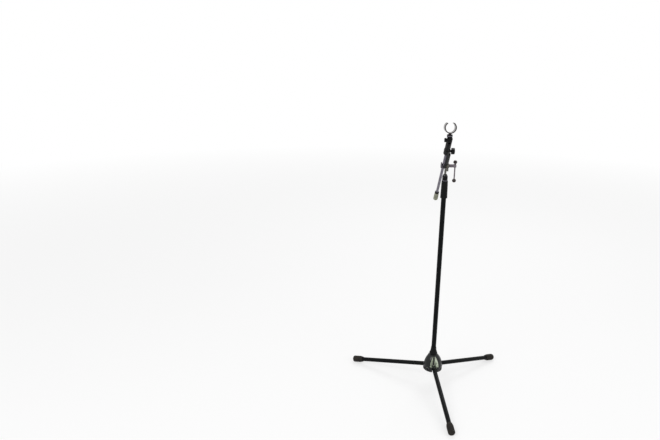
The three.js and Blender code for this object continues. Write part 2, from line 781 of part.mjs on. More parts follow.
function buildBoom(boom) {
  const tubeBore = boomTube.radius - boomTube.wall;
  piece(boom, "boom_tube", pipe(tubeBore, boomTube.radius, boomTube.rear, boomTube.front), "nickel");

  const rimRadius = boomBore + endRim.wall;
  const rimOutline = [
    [boomBore, rimRear],
    [rimRadius, rimRear],
    [rimRadius, rimFront - endRim.bevel],
    [rimRadius - endRim.bevel, rimFront],
    [boomBore, rimFront],
  ];
  piece(boom, "boom_end_rim", turned(rimOutline), "rubberBlack");

  const capRadius = boomBore + endCap.rearWall;
  const edgeMiddle = [capRadius - endCap.edge, capRear + endCap.edge];
  const capOutline = [
    [0, capRear],
    ...arc(...edgeMiddle, endCap.edge, endCap.edge, -quarterTurn, 0, arcSteps.edge),
    [boomBore + endCap.frontWall, capFront],
    [boomBore, capFront],
    [boomBore, boomTube.rear - gap],
    [0, boomTube.rear - gap],
  ];
  piece(boom, "boom_end_cap", turned(capOutline), "rubberGrey");
  piece(boom, "boom_collar", collarShape(), "plasticBlack");
}

// The stud's inner end bears on the rod and its outer end is fast in the knob.
function buildThumbScrew(boom) {
  const neckStart = bossReach + gap;
  const knobStart = neckStart + thumbKnob.neck;
  const studEnd = knobStart + thumbScrew.grip;
  const studBar = roundBar(thumbScrew.radius, rodRadius + gap, studEnd, sides.fine);
  piece(boom, "thumb_screw_stud", alongX(studBar), "steel").position.z = screwPlace;

  const hole = thumbScrew.radius + gap;
  const neck = roundBar(hole + thumbKnob.neckWall, neckStart, knobStart + overrun, sides.pin);
  const knob = cut(
    joined(lobedKnob(thumbKnob, knobStart), neck),
    roundBar(hole, neckStart - overrun, studEnd + gap, sides.fine),
  );
  piece(boom, "thumb_screw_knob", alongX(knob), "plasticBlack").position.z = screwPlace;
}

function buildRod(boom) {
  const rodBore = rodRadius - boomRod.wall;
  piece(boom, "boom_rod", pipe(rodBore, rodRadius, rodRear, rodFront), "nickel");
  const guideOutline = [
    [0, rodRear - gap - rodGuide.flange],
    [rodRadius, rodRear - gap - rodGuide.flange],
    [rodRadius, rodRear - gap],
    [rodBore - gap, rodRear - gap],
    [rodBore - gap, rodRear + rodGuide.plug],
    [0, rodRear + rodGuide.plug],
  ];
  piece(boom, "rod_guide", turned(guideOutline, sides.pin), "plasticBlack");
}

// Microphone clip

// The clip's socket on the rod, with two ears for the tilt joint.
function adaptorShape() {
  const rodSeat = rodRadius + gap;
  const insertSeat = rodSeat + adaptor.insertWall + gap;
  const outline = [
    [0, rodFront + gap],
    [rodSeat, rodFront + gap],
    [rodSeat, rodFront - 2 * gap],
    [insertSeat, rodFront - 2 * gap],
    [insertSeat, adaptorRear],
    [adaptor.radius - adaptor.bevel, adaptorRear],
    [adaptor.radius, adaptorRear + adaptor.bevel],
    [adaptor.radius, adaptorEnd],
    [0, adaptorEnd],
  ];
  const root = adaptorEnd - overrun;
  const tip = clipPlace + clipJoint.radius + overrun;
  const earInner = clipJoint.halfTongue + gap;
  const ears = [-1, 1].map((side) => {
    const low = side > 0 ? earInner : -adaptor.radius;
    const high = side > 0 ? adaptor.radius : -earInner;
    const web = block([low, -clipJoint.radius, root], [high, clipJoint.radius, clipPlace]);
    const round = alongX(roundBar(clipJoint.radius, low, high)).translate(0, 0, clipPlace);
    return joined(web, round);
  });
  const fork = shared(joined(...ears), roundBar(adaptor.radius, root, tip, sides.grip));
  const wide = adaptor.radius + overrun;
  const hole = alongX(roundBar(clipJoint.screwRadius + gap, -wide, wide, sides.pin));
  const seat = alongX(roundBar(clipJoint.headRadius + gap, headStart - gap, wide, sides.pin));
  const screwWay = joined(hole, seat).translate(0, 0, clipPlace);
  return cut(joined(turned(outline, sides.grip), fork), screwWay);
}

function buildAdaptor(boom) {
  piece(boom, "clip_adaptor", adaptorShape(), "plasticBlack");
  const insertBore = rodRadius + gap;
  const insert = pipe(insertBore, insertBore + adaptor.insertWall, adaptorRear + gap, rodFront - 3 * gap);
  piece(boom, "adaptor_insert", insert, "brass");
}

// The screw that the clip tilts on, its head on the right and its knob on the left.
function buildClipPivot(boom) {
  const outside = adaptor.radius + gap;
  const screwEnd = outside + clipKnob.grip;
  const screwOutline = [
    [0, -screwEnd],
    [clipJoint.screwRadius, -screwEnd],
    [clipJoint.screwRadius, headStart],
    [clipJoint.headRadius, headStart],
    [clipJoint.headRadius, headStart + clipJoint.headHeight],
    [0, headStart + clipJoint.headHeight],
  ];
  const screw = piece(boom, "clip_pivot_screw", alongX(turned(screwOutline, sides.pin)), "steel");
  screw.position.z = clipPlace;

  const hole = roundBar(clipJoint.screwRadius + gap, outside - overrun, screwEnd + gap, sides.pin);
  const knob = alongX(cut(lobedKnob(clipKnob, outside), hole)).rotateZ(halfTurn);
  piece(boom, "clip_knob", knob, "plasticBlack").position.z = clipPlace;
}

// The tongue between the adaptor's ears, with the round base of the clip on it. The joint is its origin.
function clipBodyShape() {
  const half = clipJoint.halfTongue;
  const web = block([-half, -clipJoint.radius, 0], [half, clipJoint.radius, bodyStart + overrun]);
  const round = alongX(roundBar(clipJoint.radius, -half, half));
  const base = roundBar(clipBody.radius, bodyStart, bodyEnd, sides.grip);
  const hole = alongX(roundBar(clipJoint.screwRadius + gap, -half - overrun, half + overrun, sides.pin));
  const stemHole = roundBar(clipRing.bore, bodyEnd - clipBody.height / 2, bodyEnd + overrun, sides.pin);
  return cut(joined(web, round, base), hole, stemHole);
}

// The C-shaped spring that grips the microphone, open at the top, on its stem.
function clipSpringShape() {
  const middle = clip.radius - clip.band / 2;
  const openAngle = Math.asin((clip.mouth / 2 + clip.lip) / middle);
  const from = quarterTurn + openAngle;
  const to = quarterTurn - openAngle + 2 * halfTurn;
  const outer = arc(0, clipCentre, clip.radius, clip.radius, from, to, arcSteps.clip);
  const innerRadius = clip.radius - clip.band;
  const inner = arc(0, clipCentre, innerRadius, innerRadius, to, from, arcSteps.clip);
  const halfDepth = clip.depth / 2;
  const band = alongY(pushed([...outer, ...inner], -halfDepth, halfDepth));
  const tips = [from, to].map((angle) => {
    const tip = alongY(roundBar(clip.lip, -halfDepth, halfDepth, sides.fine));
    return tip.translate(middle * Math.cos(angle), 0, clipCentre + middle * Math.sin(angle));
  });
  const stem = block(
    [-clip.stemHalfWidth, -clip.stemHalfDepth, stemStart],
    [clip.stemHalfWidth, clip.stemHalfDepth, clipCentre - middle],
  );
  const rootStart = bodyEnd - clipBody.height / 2 + gap;
  const root = roundBar(clipRing.bore - gap, rootStart, stemStart + overrun, sides.pin);
  return joined(band, ...tips, stem, root);
}

function buildClip(clipGroup) {
  piece(clipGroup, "clip_body", clipBodyShape(), "plasticBlack");
  const ringShape = pipe(clipRing.bore, clipRing.radius, clipRingStart, clipRingEnd);
  piece(clipGroup, "clip_ring", ringShape, "nickel");
  const capOutline = [
    [clipRing.bore, clipCapStart],
    [clipCap.radius, clipCapStart],
    [clipCap.radius, clipCapEnd - clipCap.edge],
    [clipCap.radius - clipCap.edge, clipCapEnd],
    [clipRing.bore, clipCapEnd],
  ];
  piece(clipGroup, "clip_cap", turned(capOutline, sides.grip), "plasticBlack");
  piece(clipGroup, "clip_spring", clipSpringShape(), "plasticBrown");
}

// Assembly

const stand = new THREE.Group();
buildHub(stand);
buildLegs(stand);
buildUpright(stand);

const head = new THREE.Group();
head.position.z = pivotHeight;
stand.add(head);
buildSwivel(head);
buildBarLock(head);

const tilt = new THREE.Group();
tilt.rotation.x = quarterTurn - boomElevation;
head.add(tilt);
buildBoomClamp(tilt);

const boom = new THREE.Group();
boom.position.x = boomOffset;
tilt.add(boom);
buildBoom(boom);
buildThumbScrew(boom);
buildRod(boom);
buildAdaptor(boom);
buildClipPivot(boom);

const clipGroup = new THREE.Group();
clipGroup.position.z = clipPlace;
clipGroup.rotation.x = -clipLean;
boom.add(clipGroup);
buildClip(clipGroup);

// The origin is on the floor, under the middle of the whole stand.
const boomStand = new THREE.Group();
boomStand.add(stand);
boomStand.updateMatrixWorld(true);
const extent = new THREE.Box3().setFromObject(stand, true);
stand.position.set(-(extent.min.x + extent.max.x) / 2, -(extent.min.y + extent.max.y) / 2, 0);

export default boomStand;
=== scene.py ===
"""The looks of a boom microphone stand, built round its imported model.

Every size is in metres, in the model's own frame. Each sub-assembly is a class. Its fields are the sizes
that the model doesn't give, and its methods build fine meshes over the model's plain solids and dress them.
"""

import json
import logging
import math
from collections.abc import Callable, Sequence
from dataclasses import dataclass
from enum import Enum
from typing import Any

import bmesh
import bpy
from mathutils import Matrix, Vector


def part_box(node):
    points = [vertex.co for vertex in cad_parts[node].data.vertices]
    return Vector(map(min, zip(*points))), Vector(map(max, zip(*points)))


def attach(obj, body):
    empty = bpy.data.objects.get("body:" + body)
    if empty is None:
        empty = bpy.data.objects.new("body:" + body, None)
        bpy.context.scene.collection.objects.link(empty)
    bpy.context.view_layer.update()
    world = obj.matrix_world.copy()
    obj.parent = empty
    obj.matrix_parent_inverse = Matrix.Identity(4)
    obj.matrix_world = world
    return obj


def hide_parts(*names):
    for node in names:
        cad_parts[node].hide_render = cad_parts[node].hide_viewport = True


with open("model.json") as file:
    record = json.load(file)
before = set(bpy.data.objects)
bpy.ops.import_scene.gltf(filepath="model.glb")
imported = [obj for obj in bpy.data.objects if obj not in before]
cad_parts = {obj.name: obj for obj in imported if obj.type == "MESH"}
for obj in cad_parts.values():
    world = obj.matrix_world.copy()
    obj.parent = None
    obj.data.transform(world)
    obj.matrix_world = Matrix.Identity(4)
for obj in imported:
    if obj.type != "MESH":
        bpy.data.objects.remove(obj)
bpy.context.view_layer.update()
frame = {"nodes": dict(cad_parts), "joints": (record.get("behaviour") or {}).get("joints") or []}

log = logging.getLogger("stand")

GAP = 0.0003
OVERRUN = 0.002
# Roundings of edges, for those that no part names for itself
CRISP = 0.0002
FINE = 0.0003
EASY = 0.0004
SOFT = 0.0005
FULL = 0.0006
ROUND = 0.0008
# How much of an edge the rounding of one of its ends may take
ROUNDED_SHARE = 0.49
# Points nearer than this are one, and a radius under the other is on the axis
MERGED = 1e-6
ON_AXIS = 1e-7
SMOOTH_LIMIT = math.radians(34)
FINE_STEP = math.radians(6)
QUARTER_TURN = math.pi / 2
HALF_TURN = math.pi
FULL_TURN = 2 * math.pi
UP = Vector((0, 0, 1))
RIGHT = Vector((1, 0, 0))
SEEN_RAYS = ("Is Camera Ray", "Is Glossy Ray", "Is Transmission Ray")

Point = tuple[float, float]
Corner = tuple[float, float, float]
Ring = list[bmesh.types.BMVert]
Colour = tuple[int, int, int]
Ripple = Callable[[float, float, float], float]


class Slot(Enum):
    """The record's material slots."""

    POWDER_BLACK = "powder_black"
    CAST_BLACK = "cast_black"
    STEEL = "steel"
    CAST_METAL = "cast_metal"
    NICKEL = "nickel"
    CHROME = "chrome"
    BRASS = "brass"
    RUBBER_BLACK = "rubber_black"
    RUBBER_GREY = "rubber_grey"
    FIBRE = "fibre"
    PLASTIC_BLACK = "plastic_black"
    PLASTIC_BROWN = "plastic_brown"


class Join(Enum):
    """The ways in which two solids make one."""

    ADD = "UNION"
    TAKE = "DIFFERENCE"
    KEEP = "INTERSECT"


class Sides(Enum):
    """How many flat sides stand in for a circle."""

    SMALL = 32
    MIDDLE = 64
    LARGE = 96
    FLUTED = 168


# Shader maths


class Value:
    """A socket of a material's node tree that takes part in sums.

    An expression such as 1 - mask * 0.5 adds the Math nodes that it needs.
    """

    def __init__(self, sheet: "Sheet", socket: bpy.types.NodeSocket) -> None:
        """Keeps the sheet that the nodes go on, and the socket."""
        self.sheet = sheet
        self.socket = socket

    def _sum(self, operation: str, first: "Number", second: "Number") -> "Value":
        """One Math node."""
        made = self.sheet.node("ShaderNodeMath", {"operation": operation}, {0: first, 1: second})
        return Value(self.sheet, made.outputs[0])

    def __add__(self, other: "Number") -> "Value":
        """This value plus another."""
        return self._sum("ADD", self, other)

    def __radd__(self, other: "Number") -> "Value":
        """Another value plus this one."""
        return self._sum("ADD", other, self)

    def __sub__(self, other: "Number") -> "Value":
        """This value less another."""
        return self._sum("SUBTRACT", self, other)

    def __rsub__(self, other: "Number") -> "Value":
        """Another value less this one."""
        return self._sum("SUBTRACT", other, self)

    def __mul__(self, other: "Number") -> "Value":
        """This value times another."""
        return self._sum("MULTIPLY", self, other)

    def __rmul__(self, other: "Number") -> "Value":
        """Another value times this one."""
        return self._sum("MULTIPLY", other, self)

    def over(self, limit: float, width: float) -> "Value":
        """A mask that is 0 below a limit and 1 above it.

        Args:
            limit: The middle of the change.
            width: How wide the change is.

        Returns:
            The mask.
        """
        reach = {"From Min": limit - width / 2, "From Max": limit + width / 2}
        made = self.sheet.node("ShaderNodeMapRange", {"clamp": True}, {"Value": self, **reach})
        return Value(self.sheet, made.outputs["Result"])


Number = Value | float


class Sheet:
    """The node tree of a material or of the surroundings."""

    def __init__(self, owner: bpy.types.Material | bpy.types.World, shader: str = "Principled BSDF") -> None:
        """Starts the tree.

        Args:
            owner: What the tree belongs to.
            shader: The name of its shader's node.
        """
        owner.use_nodes = True
        self.owner = owner
        self.tree = owner.node_tree
        self.shader = self.tree.nodes[shader]

    def node(self, kind: str, settings: dict[str, Any], inputs: dict[str | int, Any]) -> bpy.types.Node:
        """Any node, with its settings set first and its inputs set or linked after.

        Args:
            kind: The node's type.
            settings: The node's own settings.
            inputs: A value, a Value, a socket or a colour for each input.

        Returns:
            The node.
        """
        made = self.tree.nodes.new(kind)
        for name, value in settings.items():
            setattr(made, name, value)
        for key, value in inputs.items():
            self.feed(made.inputs[key], value)
        return made

    def feed(self, socket: bpy.types.NodeSocket, value: Any) -> None:
        """Sets an input, or links it.

        Args:
            socket: The input.
            value: A number, a colour, a socket or a Value.
        """
        if isinstance(value, Value):
            self.tree.links.new(value.socket, socket)
        elif isinstance(value, bpy.types.NodeSocket):
            self.tree.links.new(value, socket)
        else:
            socket.default_value = value

    def place(self, stretch: Corner = (1, 1, 1)) -> bpy.types.NodeSocket:
        """The place on the piece, in its own coordinates.

        Args:
            stretch: What each coordinate is multiplied by.

        Returns:
            The place's socket.
        """
        own = self.node("ShaderNodeTexCoord", {}, {}).outputs["Object"]
        made = self.node("ShaderNodeVectorMath", {"operation": "MULTIPLY"}, {0: own, 1: stretch})
        return made.outputs[0]

    def noise(self, scale: float, detail: float = 2, stretch: Corner = (1, 1, 1)) -> Value:
        """Soft noise from 0 to 1."""
        inputs = {"Vector": self.place(stretch), "Scale": scale, "Detail": detail}
        return Value(self, self.node("ShaderNodeTexNoise", {}, inputs).outputs["Fac"])

    def cells(self, scale: float) -> Value:
        """The distance to the middle of the nearest cell."""
        inputs = {"Vector": self.place(), "Scale": scale}
        return Value(self, self.node("ShaderNodeTexVoronoi", {}, inputs).outputs["Distance"])

    def seen(self) -> Value:
        """1 on a ray that comes from the camera, straight, by a reflection or through glass.

        Returns:
            The mask.
        """
        path = self.node("ShaderNodeLightPath", {}, {})
        rays = [Value(self, path.outputs[name]) for name in SEEN_RAYS]
        made = self.node("ShaderNodeClamp", {}, {"Value": rays[0] + rays[1] + rays[2]})
        return Value(self, made.outputs[0])

    def mixed(self, factor: Number, first: Any, second: Any) -> bpy.types.NodeSocket:
        """Two colours mixed."""
        made = self.node("ShaderNodeMix", {"data_type": "RGBA"}, {0: factor, 6: first, 7: second})
        return made.outputs[2]

    def bump(self, height: Value, distance: float, strength: float = 1.0) -> None:
        """Raises the surface by a height."""
        made = self.node("ShaderNodeBump", {}, {"Strength": strength, "Distance": distance, "Height": height})
        self.feed(self.shader.inputs["Normal"], made.outputs["Normal"])

    def set(self, **inputs: Any) -> None:
        """Sets or links the shader's inputs, named with _ for a space."""
        for name, value in inputs.items():
            self.feed(self.shader.inputs[name.replace("_", " ")], value)


@dataclass(frozen=True)
class Pattern:
    """Noise over a piece, cut to a mask where it has a level."""

    scale: float
    detail: float = 2
    stretch: Corner = (1, 1, 1)
    level: float | None = None
    fade: float = 0

    def on(self, made: Sheet) -> Value:
        """The pattern on a sheet."""
        noise = made.noise(self.scale, self.detail, self.stretch)
        return noise if self.level is None else noise.over(self.level, self.fade)


def linear(red: int, green: int, blue: int) -> tuple[float, float, float, float]:
    """A colour as light, from its screen values.

    Args:
        red: From 0 to 255.
        green: From 0 to 255.
        blue: From 0 to 255.

    Returns:
        Red, green, blue and 1, in linear light.
    """
    parts = [value / 255 for value in (red, green, blue)]
    toe, slope, offset, scale, power = 0.04045, 12.92, 0.055, 1.055, 2.4
    light = [part / slope if part <= toe else ((part + offset) / scale) ** power for part in parts]
    return (*light, 1.0)


# Finishes

MEAN = 0.5
CLOUDS = Pattern(45, 3, level=MEAN, fade=0.35)


@dataclass(frozen=True)
class Finish:
    """A surface finish. Each kind of finish has its own nodes."""

    slot: Slot
    colour: Colour
    second: Colour
    roughness: float
    shine: float = 0.5

    def sheet(self) -> Sheet:
        """A new sheet with the finish's colours on it.

        Returns:
            The sheet.
        """
        made = Sheet(bpy.data.materials.new(self.slot.value))
        made.set(Base_Color=self.clouded(made), Specular_IOR_Level=self.shine)
        return made

    def clouded(self, made: Sheet) -> bpy.types.NodeSocket:
        """The two colours, mixed in soft clouds."""
        return made.mixed(CLOUDS.on(made), linear(*self.colour), linear(*self.second))

    def build(self) -> bpy.types.Material:
        """The finished material."""
        return self.sheet().owner


@dataclass(frozen=True)
class PowderCoat(Finish):
    """Baked powder paint: fine orange peel, with faint rub marks along the tube."""

    rub: Pattern = Pattern(900, 2, (1, 1, 0.02), 0.62, 0.2)
    rub_change: float = 0.07
    rub_height: float = 0.25
    broad: Pattern = Pattern(28, 4)
    broad_change: float = 0.14
    peel: Pattern = Pattern(1100)
    peel_depth: float = 0.00006
    coat: float = 0.02
    coat_rub: float = 0.05
    coat_roughness: float = 0.22

    def build(self) -> bpy.types.Material:
        """The finished material."""
        made = self.sheet()
        rub = self.rub.on(made)
        broad = self.broad.on(made)
        made.set(Roughness=self.roughness + self.broad_change * (broad - MEAN) - self.rub_change * rub)
        made.set(Coat_Weight=self.coat + self.coat_rub * rub, Coat_Roughness=self.coat_roughness)
        made.bump(self.peel.on(made) + self.rub_height * rub, self.peel_depth)
        return made.owner


@dataclass(frozen=True)
class CastPaint(Finish):
    """Semi-gloss paint over a die casting, which still shows its skin."""

    skin: Pattern = Pattern(420, 3)
    skin_depth: float = 0.00016
    broad: Pattern = Pattern(35, 4)
    broad_change: float = 0.16
    pits: float = 700
    pit_level: float = 0.12
    pit_fade: float = 0.2
    pit_change: float = 0.1
    pit_height: float = 0.3
    coat: float = 0.1
    coat_broad: float = 0.2
    coat_roughness: float = 0.16

    def build(self) -> bpy.types.Material:
        """The finished material."""
        made = self.sheet()
        pits = 1 - made.cells(self.pits).over(self.pit_level, self.pit_fade)
        broad = self.broad.on(made)
        made.set(Roughness=self.roughness + self.broad_change * (broad - MEAN) + self.pit_change * pits)
        made.set(Coat_Weight=self.coat + self.coat_broad * broad, Coat_Roughness=self.coat_roughness)
        made.bump(self.skin.on(made) - self.pit_height * pits, self.skin_depth)
        return made.owner


@dataclass(frozen=True)
class GroovedCast(CastPaint):
    """The hub's paint, with a painted highlight of light grey-green metal on the walls of the grooves that the
    legs fold into, which stands in for the bright reflection there.

    What lies inside the bell's round outline, above its skirt, is in a groove.
    """

    middle: Point = (0, 0)
    radius: float = 1
    skirt: float = 0
    rise: float = 1
    floor_share: float = 0.46
    floor_fade: float = 0.04
    bell_level: float = 0.09
    bell_fade: float = 0.05
    skirt_level: float = 0.04
    skirt_fade: float = 0.06
    stain: Pattern = Pattern(160, 4)
    stain_fade: float = 0.4
    stain_change: float = 0.12
    # How metallic the painted highlight on the groove walls is.
    highlight_metallic: float = 0.6
    whole_coat: float = 0.2
    # The light and the darker tone of the painted highlight on the groove walls.
    bare: Colour = (214, 222, 204)
    dull: Colour = (156, 164, 146)

    def build(self) -> bpy.types.Material:
        """The finished material."""
        made = Sheet(bpy.data.materials.new(self.slot.value))
        split = made.node("ShaderNodeSeparateXYZ", {}, {0: made.place()})
        x, y, z = (Value(made, split.outputs[i]) for i in range(3))
        across = (x - self.middle[0]) * (x - self.middle[0]) + (y - self.middle[1]) * (y - self.middle[1])
        height = (z - self.skirt) * (1 / self.rise)
        inside = 1 - (across * (1 / self.radius**2) + height * height)
        wall = across.over((self.floor_share * self.radius) ** 2, self.floor_fade * self.radius**2)
        bell = inside.over(self.bell_level, self.bell_fade)
        # Painted highlight: the groove walls, away from the axis, get a light grey-green metal colour in place
        # of the bright reflection in them.
        painted_highlight = bell * height.over(self.skirt_level, self.skirt_fade) * wall
        stain = self.stain.on(made)
        # The painted highlight's colour, between its two tones at random.
        metal = made.mixed(stain.over(MEAN, self.stain_fade), linear(*self.bare), linear(*self.dull))
        made.set(Base_Color=made.mixed(painted_highlight, self.clouded(made), metal), Metallic=self.highlight_metallic * painted_highlight)
        made.set(Specular_IOR_Level=self.shine)
        made.set(Roughness=self.roughness + self.stain_change * (stain - MEAN))
        made.set(Coat_Weight=self.whole_coat - self.whole_coat * painted_highlight)
        made.set(Coat_Roughness=self.coat_roughness)
        made.bump(self.skin.on(made), self.skin_depth)
        return made.owner


@dataclass(frozen=True)
class BareCast(Finish):
    """Bare grey casting, dull and grained."""

    grain: Pattern = Pattern(1500, 3)
    grain_depth: float = 0.00012
    stain: Pattern = Pattern(120, 4)
    stain_change: float = 0.25
    metal: float = 0.75
    metal_stain: float = 0.2

    def build(self) -> bpy.types.Material:
        """The finished material."""
        made = self.sheet()
        stain = self.stain.on(made)
        made.set(Metallic=self.metal + self.metal_stain * stain)
        made.set(Roughness=self.roughness + self.stain_change * (stain - MEAN))
        made.bump(self.grain.on(made), self.grain_depth)
        return made.owner


@dataclass(frozen=True)
class DrawnMetal(Finish):
    """Plated or bare metal with lines along the way it was drawn or turned."""

    lines: Pattern = Pattern(2400, 2, (1, 1, 0.012))
    line_depth: float = 0.00001
    line_change: float = 0.08
    smears: Pattern = Pattern(60, 4, level=0.55, fade=0.4)
    smear: float = 0.12
    metal: float = 0.98
    metal_smear: float = 0.06

    def build(self) -> bpy.types.Material:
        """The finished material."""
        made = self.sheet()
        drawn = self.lines.on(made)
        smears = self.smears.on(made)
        made.set(Metallic=self.metal - self.metal_smear * smears)
        made.set(Roughness=self.roughness + self.smear * smears + self.line_change * (drawn - MEAN))
        made.bump(drawn, self.line_depth)
        return made.owner


@dataclass(frozen=True)
class Moulding(Finish):
    """Moulded plastic with a fine spark-eroded texture."""

    texture: Pattern = Pattern(1600)
    texture_depth: float = 0.00005
    worn: Pattern = Pattern(70, 4, level=0.6, fade=0.25)
    worn_change: float = 0.1
    coat: float = 0.02
    coat_worn: float = 0.05
    coat_roughness: float = 0.2

    def build(self) -> bpy.types.Material:
        """The finished material."""
        made = self.sheet()
        worn = self.worn.on(made)
        made.set(Roughness=self.roughness - self.worn_change * worn)
        made.set(Coat_Weight=self.coat + self.coat_worn * worn, Coat_Roughness=self.coat_roughness)
        made.bump(self.texture.on(made), self.texture_depth)
        return made.owner


@dataclass(frozen=True)
class Rubber(Finish):
    """Soft rubber, matt and a little dusty."""

    dust: Pattern = Pattern(160, 5, level=0.58, fade=0.3)
    dust_change: float = 0.12
    dust_height: float = 0.4
    grain: Pattern = Pattern(1900, 3)
    grain_depth: float = 0.00007

    def build(self) -> bpy.types.Material:
        """The finished material."""
        made = self.sheet()
        dust = self.dust.on(made)
        made.set(Roughness=self.roughness + self.dust_change * dust)
        made.bump(self.grain.on(made) + self.dust_height * dust, self.grain_depth)
        return made.owner


@dataclass(frozen=True)
class Fibre(Finish):
    """Pressed fibre: matt, with short strands that lie every way."""

    warp: Pattern = Pattern(1300, 2, (1, 0.15, 1))
    weft: Pattern = Pattern(1300, 2, (0.15, 1, 1))
    strand_change: float = 0.05
    strand_height: float = 0.5
    strand_depth: float = 0.0001

    def build(self) -> bpy.types.Material:
        """The finished material."""
        made = self.sheet()
        strands = self.warp.on(made) + self.weft.on(made)
        made.set(Roughness=self.roughness + self.strand_change * strands)
        made.bump(strands * self.strand_height, self.strand_depth)
        return made.owner


FINISHES = (
    PowderCoat(Slot.POWDER_BLACK, (5, 7, 8), (9, 11, 12), 0.4, shine=0.07),
    CastPaint(Slot.CAST_BLACK, (7, 9, 10), (12, 15, 16), 0.34, shine=0.2),
    DrawnMetal(Slot.STEEL, (92, 88, 94), (66, 62, 70), 0.3),
    BareCast(Slot.CAST_METAL, (112, 114, 104), (78, 76, 72), 0.46),
    DrawnMetal(Slot.NICKEL, (120, 117, 126), (90, 87, 98), 0.22),
    DrawnMetal(Slot.CHROME, (122, 114, 120), (70, 64, 70), 0.12, smear=0.08),
    DrawnMetal(Slot.BRASS, (176, 142, 78), (150, 118, 62), 0.3),
    Rubber(Slot.RUBBER_BLACK, (24, 22, 20), (40, 37, 32), 0.74, shine=0.2),
    Rubber(Slot.RUBBER_GREY, (142, 144, 126), (112, 114, 98), 0.76),
    Fibre(Slot.FIBRE, (74, 62, 50), (96, 82, 66), 0.85),
    Moulding(Slot.PLASTIC_BLACK, (6, 7, 8), (11, 12, 13), 0.38, shine=0.1),
    Moulding(Slot.PLASTIC_BROWN, (34, 18, 16), (22, 12, 12), 0.22, shine=0.3, coat=0.15),
)
# The finishes whose lines run along a piece. Their pieces keep the coordinates of their axis.
LENGTHWISE = {Slot.POWDER_BLACK, Slot.STEEL, Slot.NICKEL, Slot.CHROME, Slot.BRASS}


# Axes


@dataclass(frozen=True)
class Reach:
    """How far a node of the model goes on an axis, along it and out from it."""

    low: float
    high: float
    inner: float
    outer: float


@dataclass(frozen=True)
class Axis:
    """A line to build on. A piece's own Z runs along it, and its own X points to its side."""

    origin: Vector
    along: Vector
    side: Vector

    def matrix(self) -> Matrix:
        """From the axis's own coordinates to the frame.

        Returns:
            The matrix.
        """
        z = self.along.normalized()
        x = (self.side - z * self.side.dot(z)).normalized()
        y = z.cross(x)
        return Matrix.Translation(self.origin) @ Matrix((x, y, z)).transposed().to_4x4()

    def points(self, node: str) -> list[Vector]:
        """A node's corners in the axis's own coordinates."""
        inverse = self.matrix().inverted()
        return [inverse @ vertex.co for vertex in frame["nodes"][node].data.vertices]

    def reach(self, node: str) -> Reach:
        """How far a node goes along the axis and out from it.

        Args:
            node: The node's name.

        Returns:
            Its reach.
        """
        points = self.points(node)
        heights = [point.z for point in points]
        radii = [math.hypot(point.x, point.y) for point in points]
        return Reach(min(heights), max(heights), min(radii), max(radii))

    def corners(self, node: str) -> tuple[Vector, Vector]:
        """The lowest and highest corner of a node in the axis's own coordinates.

        Args:
            node: The node's name.

        Returns:
            The two corners.
        """
        points = self.points(node)
        low = Vector(min(point[i] for point in points) for i in range(3))
        high = Vector(max(point[i] for point in points) for i in range(3))
        return low, high


def middle(node: str) -> Vector:
    """The middle of a node's box."""
    low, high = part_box(node)
    return (low + high) / 2


def joint_place(name: str) -> Vector:
    """Where a joint of the model is."""
    found = next(joint for joint in frame["joints"] if joint["name"] == name)
    return Vector(found["pos_m"])


class Axes:
    """The axes of the stand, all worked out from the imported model."""

    def __init__(self) -> None:
        """Finds every axis."""
        tube = middle("lower_tube")
        foot = Vector((tube.x, tube.y, 0))
        self.legs = {name: self._leg(name) for name in ("front", "right", "left")}
        self.upright = Axis(foot, UP, self.legs["front"].origin - foot)
        tilt = joint_place("boom_tilt")
        forward = (middle("boom_rod") - middle("boom_tube")).normalized()
        self.head = Axis(tilt, RIGHT, UP)
        self.clamp = Axis(tilt, RIGHT, forward)
        self.boom = Axis(Vector((middle("boom_tube").x, tilt.y, tilt.z)), forward, RIGHT)
        self.bar = Axis(Vector((middle("t_bar_rod").x, tilt.y, tilt.z)), UP, RIGHT)
        screw = joint_place("clip_tilt")
        self.clip = Axis(screw, middle("clip_ring") - screw, RIGHT)
        self.pivot = Axis(screw, RIGHT, forward)
        knob = middle("thumb_screw_stud")
        self.thumb = Axis(Vector((self.boom.origin.x, knob.y, knob.z)), RIGHT, forward)

    @staticmethod
    def _leg(name: str) -> Axis:
        """The axis of a leg, from its pin to its foot.

        Args:
            name: The leg's name.

        Returns:
            The axis, with its own Y pointing up from the leg.
        """
        pin = joint_place(f"leg_{name}_fold")
        along = middle(f"leg_tube_{name}") - pin
        return Axis(pin, along, UP.cross(along))


# Solids


def rounded(corners: Sequence[Corner], closed: bool = True) -> list[Point]:
    """An outline's points, with its corners rounded.

    Args:
        corners: Two coordinates and a rounding for each corner.
        closed: Whether the last corner joins the first.

    Returns:
        The points.
    """
    count = len(corners)
    points: list[Point] = []
    for i, (x, y, rounding) in enumerate(corners):
        if rounding == 0 or (not closed and i in (0, count - 1)):
            points.append((x, y))
            continue
        here = Vector((x, y))
        back = Vector(corners[i - 1][:2]) - here
        ahead = Vector(corners[(i + 1) % count][:2]) - here
        half = back.angle(ahead) / 2
        longest = ROUNDED_SHARE * min(back.length, ahead.length)
        start_reach = min(rounding / math.tan(half), longest)
        radius = start_reach * math.tan(half)
        start = here + back.normalized() * start_reach
        end = here + ahead.normalized() * start_reach
        centre = here + (back.normalized() + ahead.normalized()).normalized() * (radius / math.sin(half))
        first = math.atan2(*reversed(start - centre))
        sweep = (math.atan2(*reversed(end - centre)) - first + HALF_TURN) % FULL_TURN - HALF_TURN
        points += arc((centre.x, centre.y), (radius, radius), first, first + sweep)
    return points


